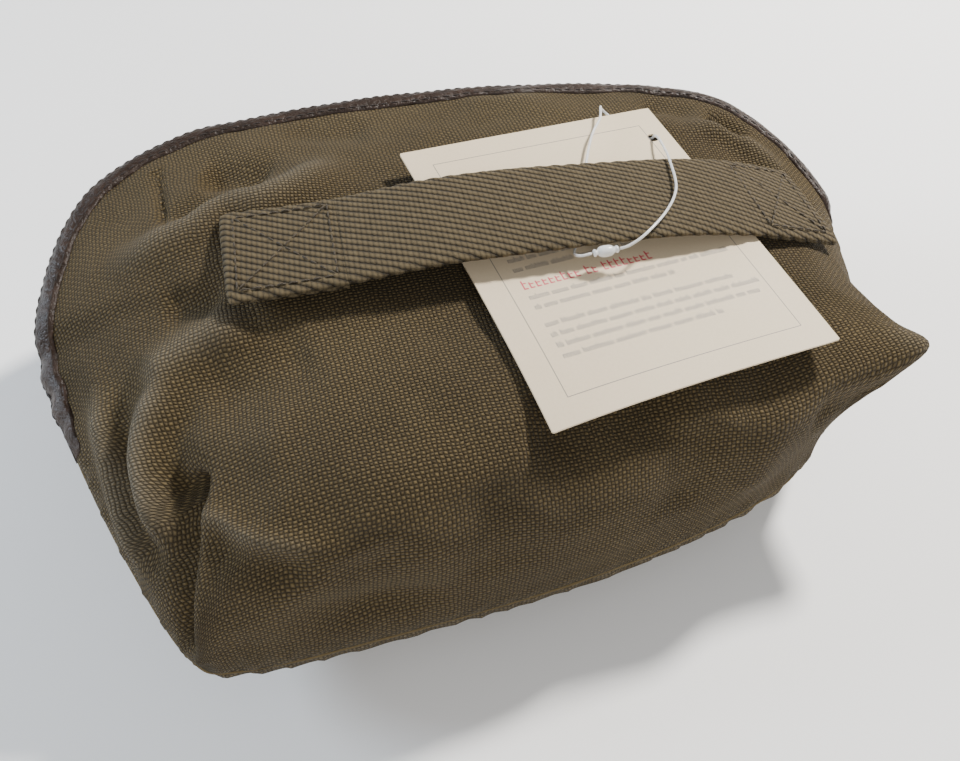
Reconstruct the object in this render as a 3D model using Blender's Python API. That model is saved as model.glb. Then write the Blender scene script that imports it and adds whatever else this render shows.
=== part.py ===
"""A dome-topped canvas zip pouch with boxed corners, a webbing handle and a swing tag.

The pouch lies on its back panel on z = 0. Units are metres. +X runs along the pouch to the right,
+Y from the base towards the zip, and +Z up, from the back panel to the front panel.

The zip and the sewn seams follow one closed outline. The front and back of the pouch are two domed
skins that start on that outline, and every layer of cloth is a skin moved inwards by its depth.
"""

from math import atan2, cos, pi, radians, sin, sqrt

import bmesh
import bpy
from mathutils import Vector

# Driving dimensions
CROWN_Z = 0.082            # height of the front panel's crown
BACK_SAG = 0.006           # how far the back would sag below the floor if nothing held it up
CENTRE = Vector((0.0, -0.011))
ZIP_TILT = radians(13.0)   # the zip lies in a plane that rises towards the dome's top
ZIP_Y, ZIP_Z = 0.012, 0.0465
ARC_RADIUS = 0.416         # the zip's long top stretch is one arc, which the slider follows
ARC_TOP = 0.097
ARC_X = -0.022
ARC_HALF = 0.090
ARC_POINTS = 9

CANVAS = (0.0, 0.0010)     # each layer's depths below the skin, outer face and inner face
TAPE = (0.0013, 0.0018)
SEAM_TAPE = (0.0016, 0.0020)
LINING = (0.0026, 0.0030)
BINDING = (-0.0018, -0.0006)
ZIP_GAP = 0.005            # half the width between the canvas edges along the zip
SEAM_GAP = 0.0002
EDGE_ARCS = (0.0, 0.0045, 0.009, 0.014)
INNER_ROWS = 5             # rows from the last edge row to the crown
STEPS = 2                  # stations on each span of the outline

ZIP_RECESS = 0.0030        # the coils lie this far inside the outline
COIL_IN, COIL_OUT = 0.0009, 0.0033
COIL_DEPTH = 0.0016
TAPE_CLEAR = 0.0013        # from the middle of the coils to the tape's outer face

STRAP_WIDTH = 0.038
STRAP_THICK = 0.0020
FOLD_THICK = 0.0017        # the strap's ends are folded under and sewn down
STRAP_GAP = 0.0003

TAG_WIDTH, TAG_LENGTH, TAG_THICK = 0.0955, 0.1175, 0.0006
TAG_CORNER = 0.0015
TAG_HOLE = 0.0020
LOOP_DIAMETER = 0.0010

UP = Vector((0, 0, 1))
ZIP_NORMAL = Vector((0, -sin(ZIP_TILT), cos(ZIP_TILT)))


def material(name, colour, roughness, metallic=0.0):
    """One Principled material."""
    made = bpy.data.materials.new(name)
    made.use_nodes = True
    shader = made.node_tree.nodes["Principled BSDF"]
    shader.inputs["Base Color"].default_value = (*colour, 1)
    shader.inputs["Roughness"].default_value = roughness
    shader.inputs["Metallic"].default_value = metallic
    return made


def add_mesh(name, verts, faces, mat):
    """A closed mesh object with its faces pointing out."""
    mesh = bpy.data.meshes.new(name)
    mesh.from_pydata([tuple(v) for v in verts], [], faces)
    work = bmesh.new()
    work.from_mesh(mesh)
    bmesh.ops.recalc_face_normals(work, faces=work.faces)
    work.to_mesh(mesh)
    work.free()
    mesh.materials.append(mat)
    mesh.shade_smooth()
    mesh.set_sharp_from_angle(angle=radians(40))
    made = bpy.data.objects.new(name, mesh)
    bpy.context.collection.objects.link(made)
    return made


def sweep(name, sections, mat):
    """Join equal closed sections into one tube and cap both ends."""
    size = len(sections[0])
    verts = [point for section in sections for point in section]
    faces = [tuple(range(size))]
    for i in range(len(sections) - 1):
        for j in range(size):
            k = (j + 1) % size
            faces.append((i * size + j, i * size + k, (i + 1) * size + k, (i + 1) * size + j))
    faces.append(tuple(range((len(sections) - 1) * size, len(sections) * size)))
    return add_mesh(name, verts, faces, mat)


def loop_sweep(name, sections, mat):
    """Join equal closed sections into one ring."""
    size = len(sections[0])
    count = len(sections)
    verts = [point for section in sections for point in section]
    faces = []
    for i in range(count):
        n = (i + 1) % count
        for j in range(size):
            k = (j + 1) % size
            faces.append((i * size + j, i * size + k, n * size + k, n * size + j))
    return add_mesh(name, verts, faces, mat)


def prism(name, outline, placed, low, high, mat):
    """Extrude a flat outline of (a, b) points from low to high. placed(a, b, c) gives the 3D point."""
    return sweep(name, [[placed(a, b, low) for a, b in outline], [placed(a, b, high) for a, b in outline]], mat)


def united(target, others):
    """Join closed solids into the target with exact unions, and drop the tools."""
    for other in others:
        union = target.modifiers.new("join", "BOOLEAN")
        union.operation = "UNION"
        union.solver = "EXACT"
        union.object = other
        bpy.context.view_layer.update()
        graph = bpy.context.evaluated_depsgraph_get()
        joined = bpy.data.meshes.new_from_object(target.evaluated_get(graph))
        target.modifiers.clear()
        target.data = joined
        bpy.data.objects.remove(other, do_unlink=True)
    return target


def catmull(p0, p1, p2, p3, t):
    """A point on the smooth curve from p1 to p2."""
    return 0.5 * (2 * p1 + (p2 - p0) * t + (2 * p0 - 5 * p1 + 4 * p2 - p3) * t ** 2
                  + (3 * p1 - p0 - 3 * p2 + p3) * t ** 3)


def smooth_path(points, steps):
    """Points on an open smooth curve through the given ones."""
    ends = [2 * points[0] - points[1], *points, 2 * points[-1] - points[-2]]
    path = [catmull(*ends[i:i + 4], k / steps) for i in range(len(points) - 1) for k in range(steps)]
    return path + [points[-1]]


# The outline --------------------------------------------------------------------------------------

def on_zip_plane(x, rise):
    return Vector((x, ZIP_Y + rise * cos(ZIP_TILT), ZIP_Z + rise * sin(ZIP_TILT)))


def outline_points():
    """The outline's own points, clockwise from the lower left corner, and the zip's first and last."""
    left_side = [Vector((-0.112, -0.076, 0.026)), Vector((-0.125, -0.048, 0.034)), Vector((-0.137, -0.018, 0.042))]
    left_dome = [on_zip_plane(-0.144, 0.010), on_zip_plane(-0.139, 0.042), on_zip_plane(-0.122, 0.074)]
    top = []
    for i in range(ARC_POINTS):
        x = -ARC_HALF + 2 * ARC_HALF * i / (ARC_POINTS - 1)
        top.append(on_zip_plane(x, ARC_TOP - ARC_RADIUS + sqrt(ARC_RADIUS ** 2 - (x - ARC_X) ** 2)))
    right_dome = [on_zip_plane(0.114, 0.069), on_zip_plane(0.130, 0.040), on_zip_plane(0.134, 0.004)]
    right_side = [Vector((0.122, -0.024, 0.038)), Vector((0.102, -0.048, 0.030)), Vector((0.082, -0.064, 0.025))]
    base = [Vector((0.048, -0.074, 0.023)), Vector((0.0, -0.081, 0.023)), Vector((-0.056, -0.084, 0.024)),
            Vector((-0.099, -0.084, 0.025))]
    before = len(left_side)
    zip_points = left_dome + top + right_dome
    return left_side + zip_points + right_side + base, before, before + len(zip_points) - 1


class Station:
    """A place on the outline: its point, its direction, the way inwards and the seam's normal."""

    def __init__(self, point, along, on_zip, gap):
        self.point = point
        self.along = along.normalized()
        self.across = ZIP_NORMAL if on_zip else UP
        self.inward = self.along.cross(self.across).normalized()
        self.gap = gap
        self.turns = {}


def make_stations():
    points, first, last = outline_points()
    count = len(points)
    stations = []
    for i in range(count):
        span = [points[(i + k) % count] for k in (-1, 0, 1, 2)]
        for step in range(STEPS):
            t = step / STEPS
            here = catmull(*span, t)
            ahead = catmull(*span, t + 0.01)
            place = i + t
            on_zip = first <= place <= last
            inside = first < place < last
            gap = ZIP_GAP if inside else SEAM_GAP
            stations.append(Station(here, ahead - here, on_zip, gap))
    return stations, first * STEPS, last * STEPS


def fullness(station, side):
    """Two exponents that set how boxy the skin is: flat and steep at the base, a lens at the zip."""
    angle = atan2(station.point.y - CENTRE.y, station.point.x - CENTRE.x)
    base = min(1.0, 1.35 * max(0.0, -sin(angle))) ** 2
    left = max(0.0, -cos(angle)) * (1 - base)
    right = max(0.0, cos(angle)) * (1 - base)
    spread = 2.0 + 2.2 * base + 0.5 * left + 1.0 * right
    rise = 1.22 + 2.2 * base + 0.25 * left + 0.55 * right
    if side < 0:
        spread, rise = 2.0 + 0.3 * (spread - 2.0), 1.2 + 0.3 * (rise - 1.2)
    return spread, rise


# Soft dents and bulges: centre, radii, push
PUSHES = (
    ((0.112, -0.053, 0.066), (0.027, 0.021, 0.021), (0.018, -0.005, 0.000)),   # right corner stands out
    ((0.134, -0.058, 0.064), (0.019, 0.016, 0.015), (0.021, -0.003, 0.004)),   # and ends in a point
    ((-0.074, 0.020, 0.074), (0.042, 0.044, 0.030), (0.000, 0.000, 0.0062)),   # full left shoulder
    ((0.109, 0.036, 0.072), (0.026, 0.018, 0.030), (0.000, 0.000, -0.0045)),   # level under the strap's end
    ((0.108, -0.010, 0.067), (0.024, 0.018, 0.030), (0.000, 0.000, 0.0030)),
    ((-0.104, -0.052, 0.066), (0.012, 0.012, 0.012), (0.006, 0.006, -0.003)),  # pinch at the left corner
)


def pushed(point, lift):
    """The point moved by every push. The pushes fade out towards the seams."""
    moved = point.copy()
    share = min(1.0, lift / 0.5) ** 2
    for centre, radii, push in PUSHES:
        reach = sum(((point[k] - centre[k]) / radii[k]) ** 2 for k in range(3))
        if reach < 12:
            moved += Vector(push) * share * 2.718281828 ** -reach
    return moved


def skin(station, side, turn, depth):
    """A point on the skin. turn runs from 0 on the outline to 1 at the crown."""
    start = station.point + station.inward * depth + station.across * (side * station.gap)
    spread, rise = fullness(station, side)
    rho = cos(turn * pi / 2) ** (2 / spread) if turn < 1 else 0.0
    lift = max(0.0, 1 - rho ** spread) ** (1 / rise)
    crown = CROWN_Z - depth if side > 0 else depth - BACK_SAG
    flat = CENTRE + (start.xy - CENTRE) * rho
    height = start.z + (crown - start.z) * lift
    if side < 0:
        height = max(height, depth)
    return pushed(Vector((flat.x, flat.y, height)), lift)


def turn_at(station, side, arc):
    """The turn at a distance along the skin from its edge."""
    table = station.turns.get(side)
    if table is None:
        table = [(0.0, 0.0)]
        fine = 300
        for i in range(1, fine):
            step = skin(station, side, i / fine, 0) - skin(station, side, (i - 1) / fine, 0)
            table.append((table[-1][0] + step.length, i / fine))
        station.turns[side] = table
    for (arc_a, turn_a), (arc_b, turn_b) in zip(table, table[1:]):
        if arc_b >= arc:
            return turn_a + (turn_b - turn_a) * (arc - arc_a) / (arc_b - arc_a)
    return 1.0


def row_turns(station, side):
    """Every row's turn: close rows along the edge, then even ones to just short of the crown."""
    edge = [turn_at(station, side, arc) for arc in EDGE_ARCS]
    rest = [edge[-1] + (1 - edge[-1]) * k / INNER_ROWS for k in range(1, INNER_ROWS)]
    return edge + rest


# Cloth layers -------------------------------------------------------------------------------------

def shell(name, stations, side, depths, mat):
    """A closed cup of cloth between two depths, open towards the other half of the pouch."""
    rings = []
    crowns = []
    for depth in depths:
        rows = [[skin(s, side, turn, depth) for turn in row_turns(s, side)] for s in stations]
        rings.append([list(ring) for ring in zip(*rows)])
        crowns.append(skin(stations[0], side, 1.0, depth))
    size = len(stations)
    per_layer = len(rings[0]) * size
    verts = [point for layer in rings for ring in layer for point in ring] + crowns
    faces = []
    for layer in range(2):
        base = layer * per_layer
        for r in range(len(rings[0]) - 1):
            for i in range(size):
                j = (i + 1) % size
                faces.append((base + r * size + i, base + r * size + j,
                              base + (r + 1) * size + j, base + (r + 1) * size + i))
        last = base + (len(rings[0]) - 1) * size
        for i in range(size):
            faces.append((last + i, last + (i + 1) % size, 2 * per_layer + layer))
    for i in range(size):
        j = (i + 1) % size
        faces.append((i, j, per_layer + j, per_layer + i))
    return add_mesh(name, verts, faces, mat)


def strip_section(station, side, rows, depths):
    """A strip's section: its outer edge rows, then its inner ones back again."""
    outer = [skin(station, side, row_turns(station, side)[r], depths[0]) for r in rows]
    inner = [skin(station, side, row_turns(station, side)[r], depths[1]) for r in rows]
    return outer + inner[::-1]


def zip_point(station, side, width, depth):
    """A point beside the zip's centre line, width off the middle and depth inside the outline."""
    return station.point + station.inward * depth + station.across * (side * width)


def binding(name, stations, side, mat):
    """The faux leather edge that is stitched over the canvas beside the zip."""
    return sweep(name, [strip_section(s, side, (0, 1, 2), BINDING) for s in stations], mat)


def zip_tape(name, stations, side, mat):
    """A woven tape: its inner edge under the coil, its outer one sewn between canvas and lining."""
    sections = []
    for s in stations:
        sewn = strip_section(s, side, (0, 1, 2), TAPE)
        thick = TAPE[1] - TAPE[0]
        face = ZIP_RECESS + TAPE_CLEAR
        outer = [zip_point(s, side, width, face) for width in (COIL_IN, COIL_OUT + 0.0003)]
        inner = [zip_point(s, side, width, face + thick) for width in (COIL_OUT + 0.0003, COIL_IN)]
        sections.append(outer + sewn[:3] + sewn[3:] + inner)
    return sweep(name, sections, mat)


def zip_coil(name, stations, side, mat):
    """The nylon coil, a rounded bar along the tape's edge."""
    sections = []
    middle = (COIL_IN + COIL_OUT) / 2
    half = (COIL_OUT - COIL_IN) / 2
    for s in stations:
        section = []
        for k in range(8):
            angle = pi / 8 + k * pi / 4
            section.append(zip_point(s, side, middle + half * cos(angle),
                                     ZIP_RECESS + 0.0002 + COIL_DEPTH / 2 * sin(angle)))
        sections.append(section)
    return sweep(name, sections, mat)


def seam_tape(name, stations, mat):
    """Bias tape over a sewn seam's inside, between the canvas and the lining."""
    sections = []
    for s in stations:
        front = strip_section(s, 1, (0, 1, 2), SEAM_TAPE)
        back = strip_section(s, -1, (0, 1, 2), SEAM_TAPE)
        outer = front[:3][::-1] + back[:3]
        inner = back[3:] + front[3:][::-1]
        sections.append(outer + inner)
    return sweep(name, sections, mat)


# Zip hardware -------------------------------------------------------------------------------------

def placed_at(station):
    """A local frame on the zip: a along it, b across it, c inwards."""
    return lambda a, b, c: station.point + station.along * a + station.across * b + station.inward * c


def box_points(half_a, half_b):
    return [(-half_a, -half_b), (half_a, -half_b), (half_a, half_b), (-half_a, half_b)]


def zip_stop(name, station, mat):
    """A crimped metal stop over both coils' ends."""
    place = placed_at(station)
    return prism(name, box_points(0.0012, 0.0036), place, ZIP_RECESS - 0.0010, ZIP_RECESS + 0.0008, mat)


def slider(station, mat):
    """Two wings joined by a post between the coils, with a bridge for the pull on top."""
    place = placed_at(station)
    wing = [(-0.0070, -0.0032), (-0.0060, -0.0036), (0.0030, -0.0040), (0.0062, -0.0034), (0.0070, -0.0018),
            (0.0070, 0.0018), (0.0062, 0.0034), (0.0030, 0.0040), (-0.0060, 0.0036), (-0.0070, 0.0032)]
    top = ZIP_RECESS - 0.0024
    body = prism("slider_body", wing, place, top, top + 0.0014, mat)
    small_wing = [(0.85 * a, 0.75 * b) for a, b in wing]
    low = prism("wing", small_wing, place, ZIP_RECESS + 0.0025, ZIP_RECESS + 0.0035, mat)
    post = prism("post", [(a + 0.0052, b) for a, b in box_points(0.0012, 0.0005)], place,
                 top + 0.0007, ZIP_RECESS + 0.0030, mat)
    front_leg = prism("leg", [(a + 0.0042, b) for a, b in box_points(0.0006, 0.0010)], place,
                      top - 0.0034, top + 0.0007, mat)
    back_leg = prism("leg", [(a - 0.0042, b) for a, b in box_points(0.0006, 0.0010)], place,
                     top - 0.0034, top + 0.0007, mat)
    bar = prism("bar", box_points(0.0048, 0.0009), place, top - 0.0036, top - 0.0027, mat)
    return united(body, [post, low, front_leg, back_leg, bar])


def pull_pivot(station):
    """The middle of the pull's eye, under the slider's bridge."""
    return placed_at(station)(0, 0, ZIP_RECESS - 0.0024 - 0.0013)


def pull_tab(station, mat):
    """A flat metal pull whose eye runs round the slider's bridge, lying back along the zip."""
    pivot = pull_pivot(station)

    def place(a, b, c):
        return pivot - station.along * a + station.across * b + station.inward * c

    thick = 0.0005
    outline = [(-0.0006, -0.0030), (0.0240, -0.0036), (0.0262, -0.0024), (0.0268, 0.0), (0.0262, 0.0024),
               (0.0240, 0.0036), (-0.0006, 0.0030)]
    plate = prism("pull_tab", outline, place, -thick, thick, mat)
    eye = prism("eye", [(0.0006, -0.0017), (0.0062, -0.0017), (0.0062, 0.0017), (0.0006, 0.0017)],
                place, -0.002, 0.002, mat)
    cut = plate.modifiers.new("eye", "BOOLEAN")
    cut.operation = "DIFFERENCE"
    cut.solver = "EXACT"
    cut.object = eye
    eye.hide_render = True
    eye.display_type = "WIRE"
    return plate


# Handle -------------------------------------------------------------------------------------------

# The strap's centre line from its left end to its right end
STRAP_ROUTE = (
    (-0.0820, 0.0170, 0.0885), (-0.0640, 0.0155, 0.0893), (-0.0460, 0.0140, 0.0908), (-0.0200, 0.0125, 0.0936),
    (0.0050, 0.0120, 0.0932), (0.0350, 0.0120, 0.0908), (0.0620, 0.0120, 0.0876), (0.0860, 0.0122, 0.0823),
    (0.1020, 0.0125, 0.0768), (0.1160, 0.0130, 0.0712),
)
LEFT_SEWN_TO, RIGHT_SEWN_FROM = -0.0470, 0.0870


def strap_path():
    return smooth_path([Vector(p) for p in STRAP_ROUTE], 6)


def strap_piece(name, start_x, end_x, under, mat):
    """The strap between two X positions. under is how far its folded layer reaches below it."""
    path = strap_path()
    sections = []
    half = STRAP_WIDTH / 2
    inside = [p for p in path if start_x + 0.001 < p.x < end_x - 0.001]
    points = [path_at(path, start_x), *inside, path_at(path, end_x)]
    for i, point in enumerate(points):
        along = (points[min(i + 1, len(points) - 1)] - points[max(i - 1, 0)]).normalized()
        width = Vector((0, 1, 0))
        width = (width - along * width.dot(along)).normalized()
        normal = along.cross(width)
        top = normal * STRAP_THICK / 2
        low = -normal * (STRAP_THICK / 2 + under)
        sections.append([point + width * half + top, point - width * half + top,
                         point - width * half + low, point + width * half + low])
    return sweep(name, sections, mat)


def path_at(path, x):
    for a, b in zip(path, path[1:]):
        if a.x <= x <= b.x:
            return a.lerp(b, (x - a.x) / (b.x - a.x))
    return path[0].copy() if x < path[0].x else path[-1].copy()


def stitch_box(name, start_x, end_x, mat):
    """The raised thread of a box with a cross, just above the strap's end."""
    path = strap_path()
    a, b = path_at(path, start_x), path_at(path, end_x)
    middle = (a + b) / 2
    along = (b - a).normalized()
    width = Vector((0, 1, 0))
    width = (width - along * width.dot(along)).normalized()
    normal = along.cross(width)
    bow = max((p - middle).dot(normal) for p in path if start_x <= p.x <= end_x)
    low = max(bow, 0) + STRAP_THICK / 2 + STRAP_GAP
    half_a = (b - a).length / 2
    half_b = STRAP_WIDTH / 2 - 0.0035
    thread = 0.0006

    def place(p, q, r):
        return middle + along * p + width * q + normal * r

    def bar(half_run, half_rise, slant, bottom, top):
        run = Vector((half_run, half_rise * slant)).normalized()
        side = Vector((-run.y, run.x)) * thread
        end_a, end_b = Vector((-half_run, -half_rise * slant)), Vector((half_run, half_rise * slant))
        corners = [end_a + side, end_b + side, end_b - side, end_a - side]
        return prism("thread", [tuple(c) for c in corners], place, bottom, top, mat)

    frame = []
    for sx, sy in ((-1, -1), (1, -1), (1, 1), (-1, 1)):
        frame.append([place(sx * (half_a + grow), sy * (half_b + grow), height)
                      for grow, height in ((-thread, low), (thread, low), (thread, low + 0.0006),
                                           (-thread, low + 0.0006))])
    made = loop_sweep(name, frame, mat)
    first = bar(half_a, half_b, 1, low + 0.0001, low + 0.0005)
    second = bar(half_a, half_b, -1, low + 0.00015, low + 0.00045)
    return united(made, [first, second])


# Swing tag ----------------------------------------------------------------------------------------

TAG_MIDDLE = Vector((0.0365, -0.0012, 0.0837))
TAG_RIGHT = Vector((0.9833, 0.1690, -0.0680)).normalized()
TAG_LEAN = Vector((-0.1670, 0.9855, 0.0300))
TAG_UP = (TAG_LEAN - TAG_RIGHT * TAG_RIGHT.dot(TAG_LEAN)).normalized()
TAG_FACE = TAG_RIGHT.cross(TAG_UP)
HOLE_AT = (0.0408, 0.0428)      # the hole's place on the card, from its middle


def on_tag(a, b, c):
    return TAG_MIDDLE + TAG_RIGHT * a + TAG_UP * b + TAG_FACE * c


def hang_tag(mat):
    """A stiff paper card with rounded corners and a punched hole."""
    outline = []
    for sx, sy, turn in ((1, 1, 0), (-1, 1, 1), (-1, -1, 2), (1, -1, 3)):
        for k in range(4):
            angle = (turn + k / 3) * pi / 2
            outline.append((sx * (TAG_WIDTH / 2 - TAG_CORNER) + TAG_CORNER * cos(angle),
                            sy * (TAG_LENGTH / 2 - TAG_CORNER) + TAG_CORNER * sin(angle)))
    card = prism("hang_tag", outline, on_tag, -TAG_THICK / 2, TAG_THICK / 2, mat)
    sides = 16
    ring = [(HOLE_AT[0] + TAG_HOLE * cos(2 * pi * k / sides), HOLE_AT[1] + TAG_HOLE * sin(2 * pi * k / sides))
            for k in range(sides)]
    punch = prism("punch", ring, on_tag, -0.002, 0.002, mat)
    cut = card.modifiers.new("hole", "BOOLEAN")
    cut.operation = "DIFFERENCE"
    cut.solver = "EXACT"
    cut.object = punch
    punch.hide_render = True
    punch.display_type = "WIRE"
    return card


BEAD_AT = Vector((0.0292, -0.0104, 0.0905))
BEAD_SIZE = (0.0040, 0.0021, 0.0018)

# The plastic loop's route: out of the bead, over the strap, down through the tag's hole, up round the
# card's top edge and back under the strap to the bead
LOOP_ROUTE = (
    (0.0337, -0.0104, 0.0905), (0.0370, -0.0105, 0.0914), (0.0429, -0.0082, 0.0928), (0.0534, 0.0006, 0.0925),
    (0.0616, 0.0122, 0.0908), (0.0660, 0.0276, 0.0890), (0.0679, 0.0360, 0.0873), (0.0690, 0.0430, 0.0858),
    (0.0694, 0.0470, 0.0840), (0.0695, 0.0481, 0.0822), (0.0686, 0.0499, 0.0807), (0.0652, 0.0545, 0.0808),
    (0.0605, 0.0612, 0.0816), (0.0566, 0.0652, 0.0842), (0.0548, 0.0628, 0.0872), (0.0520, 0.0560, 0.0878),
    (0.0463, 0.0481, 0.0877), (0.0400, 0.0360, 0.0874), (0.0355, 0.0250, 0.0874), (0.0310, 0.0120, 0.0874),
    (0.0258, 0.0010, 0.0876), (0.0222, -0.0035, 0.0880), (0.0204, -0.0078, 0.0888), (0.0216, -0.0101, 0.0900),
    (0.0246, -0.0104, 0.0905),
)


def lock_bead(mat):
    """The barrel that the loop's two ends snap into."""
    sections = []
    half, wide, high = BEAD_SIZE
    for a, grow in ((-1.0, 0.55), (-0.75, 0.9), (-0.2, 1.0), (0.2, 1.0), (0.75, 0.9), (1.0, 0.55)):
        sections.append([BEAD_AT + Vector((a * half, wide * grow * cos(k * pi / 5), high * grow * sin(k * pi / 5)))
                         for k in range(10)])
    return sweep("tag_bead", sections, mat)


def tag_loop(mat):
    """The thin plastic loop, a round tube along its route."""
    curve = bpy.data.curves.new("tag_loop", "CURVE")
    curve.dimensions = "3D"
    curve.bevel_depth = LOOP_DIAMETER / 2
    curve.bevel_resolution = 2
    curve.use_fill_caps = True
    curve.resolution_u = 1
    path = smooth_path([Vector(p) for p in LOOP_ROUTE], 3)
    line = curve.splines.new("POLY")
    line.points.add(len(path) - 1)
    for place, point in zip(line.points, path):
        place.co = (*point, 1)
    curve.materials.append(mat)
    made = bpy.data.objects.new("tag_loop", curve)
    bpy.context.collection.objects.link(made)
    return made


# Assembly -----------------------------------------------------------------------------------------

def main():
    for old in list(bpy.data.objects):
        bpy.data.objects.remove(old, do_unlink=True)

    canvas = material("canvas", (0.105, 0.082, 0.048), 0.95)
    webbing = material("webbing", (0.150, 0.120, 0.072), 0.90)
    faux_leather = material("faux_leather", (0.055, 0.038, 0.030), 0.50)
    lining = material("lining", (0.035, 0.045, 0.085), 0.90)
    tape = material("tape", (0.030, 0.024, 0.020), 0.90)
    nylon = material("nylon", (0.028, 0.022, 0.018), 0.45)
    metal = material("metal", (0.300, 0.260, 0.200), 0.40, 1.0)
    thread = material("thread", (0.100, 0.080, 0.050), 0.80)
    paper = material("paper", (0.760, 0.700, 0.600), 0.80)
    plastic = material("plastic", (0.850, 0.850, 0.820), 0.35)

    stations, first, last = make_stations()
    zip_run = stations[first + 1:last]
    wrap = stations[last + 1:] + stations[:first]
    base_start = 3 * STEPS
    right_side = wrap[:base_start]
    left_side = wrap[-base_start + 1:]
    base = wrap[base_start:-base_start]

    shell("front_panel", stations, 1, CANVAS, canvas)
    shell("back_panel", stations, -1, CANVAS, canvas)
    shell("front_lining", stations, 1, LINING, lining)
    shell("back_lining", stations, -1, LINING, lining)
    binding("binding_front", zip_run, 1, faux_leather)
    binding("binding_back", zip_run, -1, faux_leather)
    zip_tape("zip_tape_front", zip_run, 1, tape)
    zip_tape("zip_tape_back", zip_run, -1, tape)
    coil_run = zip_run[3:-3]
    zip_coil("zip_coil_front", coil_run, 1, nylon)
    zip_coil("zip_coil_back", coil_run, -1, nylon)
    zip_stop("zip_stop_left", zip_run[2], metal)
    zip_stop("zip_stop_right", zip_run[-3], metal)
    seam_tape("side_seam_tape_left", left_side, tape)
    seam_tape("side_seam_tape_right", right_side, tape)
    seam_tape("base_seam_tape", base, tape)

    closed_end = stations[first + (3 + ARC_POINTS - 1) * STEPS - 1]
    slider(closed_end, metal)
    pull_tab(closed_end, metal)

    strap_piece("handle_end_left", STRAP_ROUTE[0][0], LEFT_SEWN_TO - STRAP_GAP, FOLD_THICK, webbing)
    strap_piece("handle_strap", LEFT_SEWN_TO, RIGHT_SEWN_FROM, 0.0, webbing)
    strap_piece("handle_end_right", RIGHT_SEWN_FROM + STRAP_GAP, STRAP_ROUTE[-1][0], FOLD_THICK, webbing)
    stitch_box("handle_stitch_left", STRAP_ROUTE[0][0] + 0.004, LEFT_SEWN_TO - 0.003, thread)
    stitch_box("handle_stitch_right", RIGHT_SEWN_FROM + 0.003, STRAP_ROUTE[-1][0] - 0.004, thread)

    hang_tag(paper)
    tag_loop(plastic)
    lock_bead(plastic)


main()
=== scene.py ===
"""Looks for a canvas zip pouch that lies on its back, with a webbing handle and a swing tag."""

import random
from math import cos, pi, radians, sin, sqrt, tau

import bmesh
import bpy
import numpy as np
from mathutils import Matrix, Vector, noise


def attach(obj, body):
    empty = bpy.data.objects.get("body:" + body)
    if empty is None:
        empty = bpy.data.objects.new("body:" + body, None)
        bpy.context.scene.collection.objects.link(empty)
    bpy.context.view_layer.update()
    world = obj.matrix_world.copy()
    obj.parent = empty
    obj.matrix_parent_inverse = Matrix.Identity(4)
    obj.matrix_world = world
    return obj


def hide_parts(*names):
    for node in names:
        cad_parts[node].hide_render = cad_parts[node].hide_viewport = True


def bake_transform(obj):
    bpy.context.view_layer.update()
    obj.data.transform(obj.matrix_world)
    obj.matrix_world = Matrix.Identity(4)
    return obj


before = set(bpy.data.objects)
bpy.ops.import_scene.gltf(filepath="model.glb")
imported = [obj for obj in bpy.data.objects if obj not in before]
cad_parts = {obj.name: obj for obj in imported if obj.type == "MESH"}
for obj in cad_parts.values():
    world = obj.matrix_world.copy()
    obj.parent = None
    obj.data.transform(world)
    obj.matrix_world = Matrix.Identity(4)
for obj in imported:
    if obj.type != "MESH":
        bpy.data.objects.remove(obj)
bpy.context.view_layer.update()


# ---------------------------------------------------------------- camera

def set_camera():
    azimuth, elevation, roll = radians(-18.0), radians(50.0), radians(2.7)
    target = Vector((-0.008, -0.008, 0.038))
    offset = Vector((sin(azimuth) * cos(elevation), -cos(azimuth) * cos(elevation), sin(elevation)))
    place = target + 0.348 * offset
    right = (-offset).cross(Vector((0, 0, 1))).normalized()
    up = right.cross(-offset)
    rolled_right = right * cos(roll) + up * sin(roll)
    rolled_up = up * cos(roll) - right * sin(roll)
    data = bpy.data.cameras.new("camera")
    data.sensor_width = 36
    data.lens = 39.0
    data.clip_start = 0.01
    made = bpy.data.objects.new("camera", data)
    bpy.context.collection.objects.link(made)
    turn = Matrix((rolled_right, rolled_up, offset)).transposed().to_4x4()
    made.matrix_world = Matrix.Translation(place) @ turn
    bpy.context.scene.camera = made


set_camera()


# ---------------------------------------------------------------- mesh helpers

def new_object(name, verts, faces, uvs=None, smooth=True):
    """An object from arrays. uvs holds one (u, v) for every vertex."""
    mesh = bpy.data.meshes.new(name)
    mesh.from_pydata([tuple(map(float, v)) for v in verts], [], [tuple(map(int, f)) for f in faces])
    if uvs is not None:
        layer = mesh.uv_layers.new(name="weave")
        corners = np.empty(len(mesh.loops), dtype=np.int32)
        mesh.loops.foreach_get("vertex_index", corners)
        layer.data.foreach_set("uv", np.asarray(uvs, dtype=np.float32)[corners].ravel())
    if smooth:
        mesh.shade_smooth()
    made = bpy.data.objects.new(name, mesh)
    bpy.context.collection.objects.link(made)
    return made


def face_out(made):
    work = bmesh.new()
    work.from_mesh(made.data)
    bmesh.ops.recalc_face_normals(work, faces=work.faces)
    work.to_mesh(made.data)
    work.free()
    return made


def tube_mesh(rings, closed_run=False, caps=True):
    """Vertices and faces of a tube through equal rings, an array of (ring, point, xyz)."""
    count, size = rings.shape[:2]
    verts = rings.reshape(-1, 3)
    faces = []
    for i in range(count if closed_run else count - 1):
        n = (i + 1) % count
        for j in range(size):
            k = (j + 1) % size
            faces.append((i * size + j, i * size + k, n * size + k, n * size + j))
    if caps and not closed_run:
        faces.append(tuple(range(size))[::-1])
        faces.append(tuple(range((count - 1) * size, count * size)))
    return verts, faces


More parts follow.
